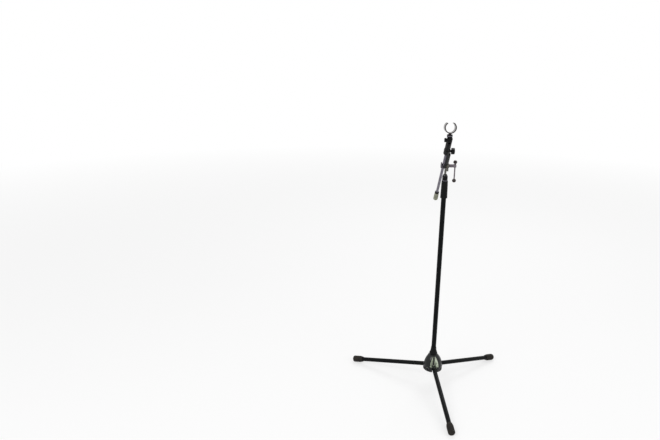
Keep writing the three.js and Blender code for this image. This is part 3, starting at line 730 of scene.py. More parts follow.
def arc(centre: Point, radii: Point, start: float, end: float, step: float = math.radians(14)) -> list[Point]:
    """Points of an arc, with both its ends.

    Args:
        centre: The arc's middle.
        radii: Its radius across and along.
        start: The angle it starts at.
        end: The angle it ends at.
        step: The largest angle between two points.

    Returns:
        The points.
    """
    count = max(2, math.ceil(abs(end - start) / step))
    angles = [start + (end - start) * i / count for i in range(count + 1)]
    return [(centre[0] + radii[0] * math.cos(a), centre[1] + radii[1] * math.sin(a)) for a in angles]


def across(place: float = 0) -> Matrix:
    """The turn that lays a bar along the axis's own X, at a place on the axis."""
    return Matrix.Translation((0, 0, place)) @ Matrix.Rotation(QUARTER_TURN, 4, "Y")


class Solid:
    """A closed mesh in the making, in the coordinates of its axis."""

    def __init__(self, mesh: bpy.types.Mesh) -> None:
        """Keeps the mesh."""
        self.mesh = mesh

    @classmethod
    def of(cls, sheet: bmesh.types.BMesh) -> "Solid":
        """A solid from a mesh that is being edited.

        Args:
            sheet: The mesh, which is freed.

        Returns:
            The solid.
        """
        bmesh.ops.recalc_face_normals(sheet, faces=sheet.faces)
        if sheet.calc_volume(signed=True) < 0:
            bmesh.ops.reverse_faces(sheet, faces=sheet.faces)
        mesh = bpy.data.meshes.new("solid")
        sheet.to_mesh(mesh)
        sheet.free()
        return cls(mesh)

    @classmethod
    def turned(
        cls,
        outline: Sequence[Point],
        sides: Sides = Sides.MIDDLE,
        ripple: Ripple | None = None,
    ) -> "Solid":
        """An outline turned about the axis.

        Args:
            outline: Pairs of a radius and a height. It starts and ends on the axis, or it closes.
            sides: How many flat sides the turning has.
            ripple: A radius worked out from an angle, a radius and a height.

        Returns:
            The solid.
        """
        sheet = bmesh.new()
        rings: list[Ring] = []
        for radius, height in outline:
            if radius < ON_AXIS:
                rings.append([sheet.verts.new((0, 0, height))])
                continue
            ring = []
            for i in range(sides.value):
                angle = FULL_TURN * i / sides.value
                reach = ripple(angle, radius, height) if ripple else radius
                ring.append(sheet.verts.new((reach * math.cos(angle), reach * math.sin(angle), height)))
            rings.append(ring)
        closes = len(rings[0]) > 1
        for lower, upper in zip(rings, rings[1:] + rings[:1] if closes else rings[1:]):
            cls._band(sheet, lower, upper)
        return cls.of(sheet)

    @classmethod
    def lathed(
        cls, corners: Sequence[Corner], sides: Sides = Sides.MIDDLE, ripple: Ripple | None = None
    ) -> "Solid":
        """Rounded corners turned about the axis. Where they start on the axis, they stay open there."""
        return cls.turned(rounded(corners, closed=corners[0][0] != 0), sides, ripple)

    @staticmethod
    def _band(sheet: bmesh.types.BMesh, lower: Ring, upper: Ring) -> None:
        """The faces between two rings, either of which may be one point.

        Args:
            sheet: The mesh.
            lower: The first ring.
            upper: The second ring.
        """
        count = max(len(lower), len(upper))
        if count == 1:
            return
        for i in range(count):
            j = (i + 1) % count
            below = [lower[i % len(lower)], lower[j % len(lower)]]
            corners = [*below, upper[j % len(upper)], upper[i % len(upper)]]
            sheet.faces.new(dict.fromkeys(corners))

    @classmethod
    def pushed(cls, outline: Sequence[Point], low: float, high: float) -> "Solid":
        """A flat outline pushed along the axis.

        Args:
            outline: Pairs of the axis's own X and Y.
            low: Where it starts.
            high: Where it ends.

        Returns:
            The solid.
        """
        sheet = bmesh.new()
        lower = [sheet.verts.new((x, y, low)) for x, y in outline]
        upper = [sheet.verts.new((x, y, high)) for x, y in outline]
        sheet.faces.new(lower)
        sheet.faces.new(upper)
        for i in range(len(outline)):
            j = (i + 1) % len(outline)
            sheet.faces.new((lower[i], lower[j], upper[j], upper[i]))
        return cls.of(sheet)

    @classmethod
    def block(cls, low: Sequence[float], high: Sequence[float]) -> "Solid":
        """A box between two corners, as stock to cut or join."""
        outline = [(low[0], low[1]), (high[0], low[1]), (high[0], high[1]), (low[0], high[1])]
        return cls.pushed(outline, low[2], high[2])

    @classmethod
    def bar(
        cls, radius: float, low: float, high: float, rounding: float = 0, sides: Sides = Sides.MIDDLE
    ) -> "Solid":
        """A round bar on the axis."""
        corners = [(0, low, 0), (radius, low, rounding), (radius, high, rounding), (0, high, 0)]
        return cls.lathed(corners, sides)

    @classmethod
    def pipe(cls, reach: Reach, rounding: float = CRISP, sides: Sides = Sides.MIDDLE) -> "Solid":
        """A pipe on the axis.

        Args:
            reach: Its ends, bore and radius.
            rounding: The rounding of its edges.
            sides: How many flat sides it has.

        Returns:
            The solid.
        """
        corners = [
            (reach.inner, reach.low, rounding),
            (reach.outer, reach.low, rounding),
            (reach.outer, reach.high, rounding),
            (reach.inner, reach.high, rounding),
        ]
        return cls.lathed(corners, sides)

    def laid(self, matrix: Matrix) -> "Solid":
        """This solid moved.

        Args:
            matrix: The move.

        Returns:
            The moved solid.
        """
        mesh = self.mesh.copy()
        mesh.transform(matrix)
        return Solid(mesh)

    def at(self, place: Sequence[float]) -> "Solid":
        """This solid moved to a place."""
        return self.laid(Matrix.Translation(place))

    def swung(self, angle: float, letter: str) -> "Solid":
        """This solid turned about an axis of its own."""
        return self.laid(Matrix.Rotation(angle, 4, letter))

    def with_others(self, join: Join, *others: "Solid") -> "Solid":
        """This solid joined to others, cut by them or kept inside them.

        Args:
            join: Which of the three.
            others: The other solids.

        Returns:
            The result.
        """
        objects = [bpy.data.objects.new("stock", solid.mesh) for solid in (self, *others)]
        for stock in objects:
            bpy.context.scene.collection.objects.link(stock)
        for other in objects[1:]:
            tool = objects[0].modifiers.new("join", "BOOLEAN")
            tool.operation = join.value
            tool.solver = "EXACT"
            tool.object = other
        result = self._made(objects[0])
        for stock in objects:
            bpy.data.objects.remove(stock)
        return result

    @staticmethod
    def _made(stock: bpy.types.Object) -> "Solid":
        """What an object's modifiers make of its mesh.

        Args:
            stock: The object.

        Returns:
            The solid.
        """
        graph = bpy.context.evaluated_depsgraph_get()
        sheet = bmesh.new()
        mesh = bpy.data.meshes.new_from_object(stock.evaluated_get(graph))
        sheet.from_mesh(mesh)
        bpy.data.meshes.remove(mesh)
        bmesh.ops.remove_doubles(sheet, verts=sheet.verts, dist=MERGED)
        bmesh.ops.dissolve_degenerate(sheet, edges=sheet.edges, dist=MERGED)
        return Solid.of(sheet)

    def joined(self, *others: "Solid") -> "Solid":
        """This solid and others as one."""
        return self.with_others(Join.ADD, *others)

    def cut(self, *others: "Solid") -> "Solid":
        """This solid with others cut out of it."""
        return self.with_others(Join.TAKE, *others)

    def kept(self, *others: "Solid") -> "Solid":
        """What this solid shares with the others."""
        return self.with_others(Join.KEEP, *others)

    def eased(self, width: float, sharpest: float = math.radians(32)) -> "Solid":
        """This solid with its sharp edges eased.

        Args:
            width: How wide the eased edge is.
            sharpest: Edges flatter than this angle stay.

        Returns:
            The eased solid.
        """
        stock = bpy.data.objects.new("stock", self.mesh)
        bpy.context.scene.collection.objects.link(stock)
        ease = stock.modifiers.new("ease", "BEVEL")
        ease.width = width
        ease.segments = 2
        ease.limit_method = "ANGLE"
        ease.angle_limit = sharpest
        ease.use_clamp_overlap = False
        ease.miter_outer = "MITER_ARC"
        result = self._made(stock)
        bpy.data.objects.remove(stock)
        return result

    def above_floor(self, axis: Axis) -> "Solid":
        """This solid with what would be under the floor pressed off.

        Args:
            axis: The axis that the solid is on.

        Returns:
            The solid with a flat face on the floor.
        """
        sheet = bmesh.new()
        sheet.from_mesh(self.mesh)
        sheet.transform(axis.matrix())
        parts = [*sheet.verts, *sheet.edges, *sheet.faces]
        cut = bmesh.ops.bisect_plane(
            sheet, geom=parts, plane_co=(0, 0, 0), plane_no=(0, 0, 1), clear_inner=True
        )
        rim = [part for part in cut["geom_cut"] if isinstance(part, bmesh.types.BMEdge)]
        bmesh.ops.contextual_create(sheet, geom=rim)
        sheet.transform(axis.matrix().inverted())
        return self.of(sheet)


class Workshop:
    """Makes the pieces of the visual model, in their finishes."""

    def __init__(self) -> None:
        """Builds every finish once."""
        self.finishes = {finish.slot: finish.build() for finish in FINISHES}
        self.made: list[str] = []

    def show(self, name: str, solid: Solid, axis: Axis, body: str, slot: Slot, node: str) -> bpy.types.Object:
        """A piece of the visual model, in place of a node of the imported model.

        Args:
            name: The piece's name.
            solid: Its shape.
            axis: The axis that the shape is on.
            body: The body that it rides on.
            slot: The finish that it has.
            node: The node that it stands for.

        Returns:
            The piece.
        """
        lengthwise = slot in LENGTHWISE
        mesh = solid.mesh if lengthwise else solid.laid(axis.matrix()).mesh
        mesh.name = name
        mesh.polygons.foreach_set("use_smooth", [True] * len(mesh.polygons))
        mesh.set_sharp_from_angle(angle=SMOOTH_LIMIT)
        mesh.materials.clear()
        mesh.materials.append(self.finishes[slot])
        made = bpy.data.objects.new(name, mesh)
        bpy.context.scene.collection.objects.link(made)
        if lengthwise:
            made.matrix_world = axis.matrix()
        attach(made, body)
        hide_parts(node)
        self.made.append(name)
        log.info("%s: %d faces for %s", name, len(mesh.polygons), node)
        return made

    def dress(self, node: str, slot: Slot) -> None:
        """A finish for a node that stays, inside the stand.

        Args:
            node: The node.
            slot: Its finish.
        """
        kept = frame["nodes"][node]
        kept.data.materials.clear()
        kept.data.materials.append(self.finishes[slot])
        log.info("%s keeps its shape", node)


# The stand


@dataclass(frozen=True)
class Part:
    """A part of the stand, made in a workshop on the stand's axes."""

    shop: Workshop
    axes: Axes

    def pipe(self, name: str, axis: Axis, body: str, slot: Slot, node: str, rounding: float = CRISP) -> None:
        """Shows a plain pipe in place of a node."""
        self.shop.show(name, Solid.pipe(axis.reach(node), rounding), axis, body, slot, node)


@dataclass(frozen=True)
class TripodHub(Part):
    """The cast bell that carries the legs, with its collar and the bolt under it."""

    skirt: float = 0.012
    edge: float = 0.0015
    crown_share: float = 0.95
    crown_step: float = math.radians(4)
    web: float = 0.004
    groove_half_floor: float = 0.002
    groove_room: float = 0.0005
    slot_room: float = 0.0004
    pocket_radius: float = 0.0086
    pocket_reach: float = 0.023
    pocket_depth: float = 0.030
    pin_radius: float = 0.003
    pin_seat: float = 0.0215
    collar_lip: float = 0.0008
    collar_waist: float = 0.0022
    collar_band: float = 0.004
    collar_edge: float = 0.0012
    collar_sweep: float = 0.02
    bolt_chamfer: float = 0.0012
    bolt_root: float = 0.003
    ease: float = 0.0006

    def build(self) -> None:
        """Builds every piece."""
        self.casting()
        self.collar()
        self.washer()
        self.bolt()

    @property
    def reach(self) -> Reach:
        """How far the casting goes."""
        return self.axes.upright.reach("base_hub")

    @property
    def skirt_top(self) -> float:
        """How high the bell's skirt ends."""
        return self.reach.low + self.skirt

    @property
    def rise(self) -> float:
        """How far the crown's ellipse rises over the skirt."""
        return (self.reach.high - self.skirt_top) / self.crown_share

    def dome(self) -> Solid:
        """The bell before anything is cut from it.

        Returns:
            The bell.
        """
        reach = self.reach
        socket = self.axes.upright.reach("lower_tube").outer + GAP
        end = math.asin(self.crown_share)
        crown = arc((0, self.skirt_top), (reach.outer, self.rise), 0, end, self.crown_step)
        corners = [
            (reach.inner, reach.low, 0),
            (reach.outer, reach.low, self.edge),
            *((x, y, 0) for x, y in crown),
            (socket, reach.high, self.edge / 2),
            (socket, reach.low + self.web, 0),
            (reach.inner, reach.low + self.web, 0),
        ]
        return Solid.lathed(corners, Sides.LARGE)

    def leg_cutters(self, turn: float) -> list[Solid]:
        """What one leg takes from the bell.

        Args:
            turn: The leg's angle from the front leg.

        Returns:
            Its slot, its groove, its pin's hole and seats, and the pocket beside it.
        """
        upright = self.axes.upright
        reach = self.reach
        pin = self.axes.legs["front"].origin - upright.origin
        pin_reach = math.hypot(pin.x, pin.y)
        leg = self.axes.legs["front"].reach("leg_tube_front").outer
        head = self.pin_axis().reach("leg_pin_front").outer + GAP
        outside = reach.outer + OVERRUN
        half = leg + self.slot_room
        slot = Solid.block(
            (pin_reach - half, -half, reach.low - OVERRUN),
            (outside, half, pin.z + half),
        )
        floor = pin_reach + self.groove_half_floor - (leg + self.groove_room) * math.sqrt(2)
        mouth = self.groove_half_floor + outside - floor
        outline = [
            (floor, -self.groove_half_floor),
            (outside, -mouth),
            (outside, mouth),
            (floor, self.groove_half_floor),
        ]
        groove = Solid.pushed(outline, pin.z + leg, reach.high + OVERRUN)
        through = Matrix.Translation((pin_reach, 0, pin.z)) @ Matrix.Rotation(QUARTER_TURN, 4, "X")
        hole = Solid.bar(self.pin_radius + GAP, -outside, outside, sides=Sides.SMALL).laid(through)
        seats = [
            Solid.bar(head, low, high, sides=Sides.SMALL).laid(through)
            for low, high in ((self.pin_seat, outside), (-outside, -self.pin_seat))
        ]
        pocket = Solid.bar(self.pocket_radius, reach.low - OVERRUN, reach.low + self.pocket_depth)
        beside = pocket.at((self.pocket_reach, 0, 0)).swung(HALF_TURN / 3, "Z")
        return [cutter.swung(turn, "Z") for cutter in (slot, groove, hole, *seats, beside)]

    def pin_axis(self) -> Axis:
        """The axis of the front leg's pin."""
        leg = self.axes.legs["front"]
        return Axis(leg.origin, leg.side, UP)

    def casting(self) -> None:
        """The bell."""
        cutters = [cutter for i in range(3) for cutter in self.leg_cutters(FULL_TURN * i / 3)]
        bell = self.dome().cut(*cutters).eased(self.ease)
        made = self.shop.show("hub_casting", bell, self.axes.upright, "base", Slot.CAST_BLACK, "base_hub")
        paint = next(finish for finish in FINISHES if finish.slot is Slot.CAST_BLACK)
        origin = self.axes.upright.origin
        shape = {"radius": self.reach.outer, "skirt": self.skirt_top, "rise": self.rise}
        # The bell's paint carries a painted highlight on its groove walls.
        grooved = GroovedCast(**vars(paint), middle=(origin.x, origin.y), **shape)
        made.data.materials[0] = grooved.build()

    def collar(self) -> None:
        """The moulded collar between the bell and the tube."""
        reach = self.axes.upright.reach("hub_collar")
        height = reach.high - reach.low
        top = reach.inner + self.collar_lip
        waist = reach.inner + self.collar_waist
        corners = [
            (reach.inner, reach.low, 0),
            (reach.outer, reach.low, FULL),
            (reach.outer, reach.low + self.collar_band, self.collar_edge),
            (waist, reach.high - height / 2, self.collar_sweep),
            (top, reach.high, FINE),
            (reach.inner, reach.high, CRISP),
        ]
        self.shop.show(
            "hub_collar_moulding",
            Solid.lathed(corners),
            self.axes.upright,
            "base",
            Slot.PLASTIC_BLACK,
            "hub_collar",
        )

    def washer(self) -> None:
        """The washer under the bell."""
        self.pipe("hub_washer", self.axes.upright, "base", Slot.STEEL, "base_washer", EASY)

    def bolt(self) -> None:
        """The hexagon bolt that holds the tube in the bell."""
        reach = self.axes.upright.reach("base_bolt")
        head_top = self.axes.upright.reach("base_washer").low - GAP
        bore = self.axes.upright.reach("base_washer").inner - GAP
        chamfer = self.bolt_chamfer
        hexagon = [
            (reach.outer * math.cos(angle), reach.outer * math.sin(angle))
            for angle in (FULL_TURN * i / 6 for i in range(6))
        ]
        head = Solid.pushed(hexagon, reach.low, head_top).swung(FULL_TURN / 12, "Z")
        round_off = [
            (0, reach.low, 0),
            (reach.outer - chamfer, reach.low, 0),
            (reach.outer, reach.low + chamfer, 0),
            (reach.outer, head_top, 0),
            (0, head_top, 0),
        ]
        shaped = head.kept(Solid.lathed(round_off, Sides.LARGE))
        bolt = shaped.joined(Solid.bar(bore, reach.low + self.bolt_root, reach.high, SOFT, Sides.SMALL))
        self.shop.show("hub_bolt", bolt, self.axes.upright, "base", Slot.STEEL, "base_bolt")


@dataclass(frozen=True)
class Leg(Part):
    """A folding leg: its knuckle, tube, foot and pin."""

    name: str
    pin_radius: float = 0.003
    pin_seat: float = 0.0218
    dome: float = 0.0014
    foot_neck: float = 0.002
    foot_taper: float = 0.012
    foot_sweep: float = 0.008
    foot_edge: float = 0.0075
    foot_seat: float = 0.006
    grip_pitch: float = 0.0045
    grip_width: float = 0.0016
    grip_depth: float = 0.0005
    grips: int = 3

    @property
    def axis(self) -> Axis:
        """The leg's own axis."""
        return self.axes.legs[self.name]

    @property
    def body(self) -> str:
        """The body that the leg rides on."""
        return f"leg_{self.name}"

    def build(self) -> None:
        """Builds every piece."""
        self.knuckle()
        self.tube()
        self.foot()
        self.pin()

    def knuckle(self) -> None:
        """The cast end that turns on the pin and holds the tube."""
        node = f"leg_knuckle_{self.name}"
        reach = self.axis.reach(node)
        tube = self.axis.reach(f"leg_tube_{self.name}")
        radius = tube.outer
        wide = radius + OVERRUN
        shoulder = tube.low - GAP
        barrel = Solid.bar(radius, -radius, shoulder)
        hinge = Solid.bar(radius, -wide, wide).laid(across())
        front = Solid.block((-wide, -wide, 0), (wide, wide, shoulder + OVERRUN))
        head = barrel.kept(hinge.joined(front))
        plug = Solid.bar(tube.inner - GAP, 0, reach.high, FULL)
        hole = Solid.bar(self.pin_radius + GAP, -wide, wide, sides=Sides.SMALL).laid(across())
        made = head.joined(plug).cut(hole).eased(EASY)
        self.shop.show(f"knuckle_{self.name}", made, self.axis, self.body, Slot.CAST_BLACK, node)

    def tube(self) -> None:
        """The leg's tube."""
        self.pipe(f"tube_{self.name}", self.axis, self.body, Slot.POWDER_BLACK, f"leg_tube_{self.name}")

    def foot(self) -> None:
        """The rubber foot, with shallow grip rings, flat where it stands on the floor."""
        node = f"leg_foot_{self.name}"
        reach = self.axis.reach(node)
        seat = self.axis.reach(f"leg_tube_{self.name}").outer + GAP
        grips: list[Corner] = []
        for i in range(self.grips):
            low = reach.low + self.foot_taper + self.grip_pitch * (i + 1)
            high = low + self.grip_width
            floor = reach.outer - self.grip_depth
            grips += [(reach.outer, low, EASY), (floor, low + self.grip_depth, FINE)]
            grips += [(floor, high - self.grip_depth, FINE), (reach.outer, high, EASY)]
        corners = [
            (0, reach.high - self.foot_seat, 0),
            (seat, reach.high - self.foot_seat, 0),
            (seat, reach.low, FINE),
            (seat + self.foot_neck - GAP, reach.low, ROUND),
            (reach.outer, reach.low + self.foot_taper, self.foot_sweep),
            *grips,
            (reach.outer, reach.high, self.foot_edge),
            (0, reach.high, 0),
        ]
        made = Solid.lathed(corners).above_floor(self.axis)
        self.shop.show(f"foot_{self.name}", made, self.axis, self.body, Slot.RUBBER_BLACK, node)

    def pin(self) -> None:
        """The rivet that the leg turns on, with a domed head at each end."""
        node = f"leg_pin_{self.name}"
        line = Axis(self.axis.origin, self.axis.side, UP)
        reach = line.reach(node)
        corners = [
            (0, reach.low, 0),
            (reach.outer, reach.low, self.dome),
            (reach.outer, -self.pin_seat, CRISP),
            (self.pin_radius, -self.pin_seat, 0),
            (self.pin_radius, self.pin_seat, 0),
            (reach.outer, self.pin_seat, CRISP),
            (reach.outer, reach.high, self.dome),
            (0, reach.high, 0),
        ]
        made = Solid.lathed(corners, Sides.SMALL)
        self.shop.show(f"rivet_{self.name}", made, line, "base", Slot.STEEL, node)


@dataclass(frozen=True)
class Upright(Part):
    """The telescopic upright with its twist clutch."""

    sleeve_lip: float = 0.003
    sleeve_edge: float = 0.0009
    sleeve_foot: float = 0.005
    sleeve_taper: float = 0.0015
    flutes: int = 28
    flute_steps: int = 12
    flute_depth: float = 0.00022
    flute_margin: float = 0.008
    flute_fade: float = 0.004
    nose_lip: float = 0.0025
    nose_edge: float = 0.0016
    shoulder_rise: float = 0.0082
    shoulder_top: float = 0.006
    shoulder_band: float = 0.0015
    shoulder_edge: float = 0.001
    socket_depth: float = 0.0098
    socket_radius: float = 0.0043

    def build(self) -> None:
        """Builds every piece, and dresses those inside."""
        upright = self.axes.upright
        self.pipe("tube_lower", upright, "base", Slot.POWDER_BLACK, "lower_tube")
        self.pipe("tube_upper", upright, "upright", Slot.POWDER_BLACK, "upper_tube")
        self.sleeve()
        self.ring()
        self.nose()
        self.shoulder()
        self.shop.dress("tube_plug", Slot.STEEL)
        self.shop.dress("clutch_ferrule", Slot.STEEL)
        self.shop.dress("clutch_collet", Slot.PLASTIC_BLACK)
        self.shop.dress("tube_bush", Slot.PLASTIC_BLACK)

    def sleeve(self) -> None:
        """The tapered grip of the clutch, with shallow flutes for the hand."""
        axis = self.axes.upright
        reach = axis.reach("clutch_sleeve")
        bore = axis.reach("clutch_ferrule").outer + GAP
        mouth = axis.reach("clutch_ring").inner
        top = reach.outer - self.sleeve_taper
        first = reach.low + self.flute_margin
        last = reach.high - self.flute_margin
        slope = self.sleeve_taper / (reach.high - reach.low)
        steps = self.flute_steps
        stations = [first + (last - first) * i / steps for i in range(steps + 1)]
        side = [(reach.outer - slope * (height - reach.low), height, 0) for height in stations]
        corners = [
            (reach.inner, reach.low, CRISP),
            (reach.outer, reach.low, self.sleeve_edge),
            *side,
            (top, reach.high, self.sleeve_edge),
            (mouth, reach.high, CRISP),
            (mouth, reach.high - self.sleeve_lip, 0),
            (bore, reach.high - self.sleeve_lip, 0),
            (bore, reach.low + self.sleeve_foot, 0),
            (reach.inner, reach.low + self.sleeve_foot, 0),
        ]

        def fluted(angle: float, radius: float, height: float) -> float:
            """The sleeve's radius with its flutes.

            Args:
                angle: The angle round the sleeve.
                radius: The radius without flutes.
                height: The height.

            Returns:
                The radius.
            """
            if radius < top - self.flute_depth:
                return radius
            fade = max(0.0, min(1.0, (height - first) / self.flute_fade, (last - height) / self.flute_fade))
            return radius - self.flute_depth * fade * (1 - math.cos(self.flutes * angle)) / 2

        made = Solid.lathed(corners, Sides.FLUTED, fluted)
        self.shop.show("clutch_grip", made, axis, "clutch", Slot.PLASTIC_BLACK, "clutch_sleeve")

    def ring(self) -> None:
        """The bright ring over the grip."""
        axis = self.axes.upright
        reach = axis.reach("clutch_ring")
        rounding = (reach.high - reach.low) / 4
        self.pipe("clutch_band", axis, "clutch", Slot.NICKEL, "clutch_ring", rounding)

    def nose(self) -> None:
        """The black nose over the ring."""
        axis = self.axes.upright
        reach = axis.reach("clutch_nose")
        bore = axis.reach("clutch_ring").inner
        corners = [
            (bore, reach.low, 0),
            (reach.outer, reach.low, EASY),
            (reach.outer, reach.high, self.nose_edge),
            (reach.inner, reach.high, CRISP),
            (reach.inner, reach.high - self.nose_lip, 0),
            (bore, reach.high - self.nose_lip, 0),
        ]
        made = Solid.lathed(corners)
        self.shop.show("clutch_cone", made, axis, "clutch", Slot.PLASTIC_BLACK, "clutch_nose")

    def shoulder(self) -> None:
        """The plug that closes the upper tube and carries the swivel."""
        axis = self.axes.upright
        reach = axis.reach("top_plug")
        bore = axis.reach("upper_tube").inner - GAP
        seat = reach.high - self.shoulder_rise
        hole = self.socket_radius
        corners = [
            (0, reach.low, 0),
            (bore, reach.low, ROUND),
            (bore, seat, 0),
            (reach.outer, seat, SOFT),
            (reach.outer, seat + self.shoulder_band, self.shoulder_edge),
            (self.shoulder_top, reach.high, ROUND),
            (hole, reach.high, FINE),
            (hole, reach.high - self.socket_depth, 0),
            (0, reach.high - self.socket_depth, 0),
        ]
        made = Solid.lathed(corners)
        self.shop.show("upright_shoulder", made, axis, "upright", Slot.CAST_BLACK, "top_plug")


@dataclass(frozen=True)
class Swivel(Part):
    """The bare cast swivel on the upright, with its friction disc and washer."""

    half_depth: float = 0.0058
    block_height: float = 0.0085
    boss_radius: float = 0.0095
    stud_radius: float = 0.004
    stud_clear_share: float = 1.2
    ease: float = 0.0007

    def build(self) -> None:
        """Builds every piece."""
        self.casting()
        head = self.axes.head
        self.pipe("fibre_disc", head, "swivel", Slot.FIBRE, "friction_disc", FINE)
        self.pipe("lock_washer", head, "swivel", Slot.STEEL, "t_bar_washer", FINE)

    def casting(self) -> None:
        """The block, its ear and its stud. Its own X is up and its own Z runs to the right."""
        head = self.axes.head
        low, high = head.corners("swivel_body")
        ear_left = head.reach("friction_disc").high + GAP
        bore = head.reach("friction_disc").inner
        bottom = self.block_bottom()
        depth = self.half_depth
        left = self.axes.boom.origin.x - head.origin.x + self.axes.boom.reach("boom_tube").outer + GAP
        base = Solid.block((bottom, -depth, left), (bottom + self.block_height, depth, high.z))
        ear = Solid.block((bottom, -depth, ear_left), (0, depth, high.z))
        boss = Solid.bar(self.boss_radius, ear_left, high.z)
        hole = Solid.bar(bore, ear_left - OVERRUN, high.z + OVERRUN, sides=Sides.SMALL)
        shaped = base.joined(ear, boss).eased(self.ease).cut(hole)
        stem = Solid.bar(self.stud_radius, low.x, bottom + self.block_height / 2, SOFT, Sides.SMALL)
        stud = stem.laid(across()).at((0, 0, -self.axes.head.origin.x + self.axes.upright.origin.x))
        made = shaped.joined(stud)
        self.shop.show("swivel_casting", made, head, "swivel", Slot.CAST_METAL, "swivel_body")

    def block_bottom(self) -> float:
        """How far below the tilt axis the block's underside is."""
        points = self.axes.head.points("swivel_body")
        return min(point.x for point in points if abs(point.y) > self.stud_radius * self.stud_clear_share)


@dataclass(frozen=True)
class BarLock(Part):
    """The T-bar that clamps the boom: a plated barrel nut with a sliding bar and two balls."""

    nut_edge: float = 0.001
    ring_width: float = 0.0012
    ring_depth: float = 0.0004
    ring_inset: float = 0.0035
    shank_wall: float = 0.005
    ball_socket: float = 0.005
    seam: float = 0.00012
    seam_half: float = math.radians(1.5)

    def build(self) -> None:
        """Builds every piece."""
        self.nut()
        reach = self.axes.bar.reach("t_bar_rod")
        rod = Solid.bar(reach.outer, reach.low, reach.high, SOFT, Sides.SMALL)
        self.shop.show("lock_bar", rod, self.axes.bar, "bar", Slot.CHROME, "t_bar_rod")
        self.ball("top", 1)
        self.ball("bottom", -1)

    def nut(self) -> None:
        """The barrel, with a ring turned in each end and a cross hole for the bar."""
        head = self.axes.head
        reach = head.reach("t_bar_nut")
        bar = self.axes.bar.reach("t_bar_rod").outer
        place = self.axes.bar.origin.x - head.origin.x
        depth = place - bar - self.shank_wall + GAP
        floor = reach.outer - self.ring_depth
        corners = [(0, depth, 0), (reach.inner, depth, 0), (reach.inner, reach.low, CRISP)]
        corners.append((reach.outer, reach.low, self.nut_edge))
        for start in (reach.low + self.ring_inset, place - bar - 2 * self.ring_inset):
            end = start + self.ring_width
            corners += [(reach.outer, start, CRISP), (floor, start, CRISP)]
            corners += [(floor, end, CRISP), (reach.outer, end, CRISP)]
        corners += [(reach.outer, reach.high, self.nut_edge), (0, reach.high, 0)]
        wide = reach.outer + OVERRUN
        hole = Solid.bar(bar + GAP, -wide, wide, sides=Sides.SMALL).laid(across(place))
        made = Solid.lathed(corners).cut(hole).eased(FINE)
        self.shop.show("lock_nut", made, head, "bar_nut", Slot.CHROME, "t_bar_nut")

    def ball(self, name: str, way: int) -> None:
        """A ball on an end of the bar, with the fine seam of its mould.

        Args:
            name: Which end.
            way: 1 for the ball whose hole opens down, -1 for the other.
        """
        node = f"t_bar_ball_{name}"
        reach = self.axes.bar.reach(node)
        radius = reach.outer
        bore = self.axes.bar.reach("t_bar_rod").outer + GAP
        centre = reach.high - radius if way > 0 else reach.low + radius
        mouth = math.asin(bore / radius) - QUARTER_TURN
        seam = self.seam_half
        step = FINE_STEP
        lower = arc((0, 0), (radius, radius), mouth, -seam, step)
        upper = arc((0, 0), (radius, radius), seam, QUARTER_TURN, step)
        upper[-1] = (0, radius)
        floor = -radius + self.ball_socket + GAP
        outline = [(0, floor), (bore, floor), *lower, (radius - self.seam, 0), *upper]
        ball = Solid.turned(outline)
        turned = ball if way > 0 else ball.swung(HALF_TURN, "X")
        placed = turned.at((0, 0, centre))
        self.shop.show(f"lock_ball_{name}", placed, self.axes.bar, "bar", Slot.PLASTIC_BROWN, node)


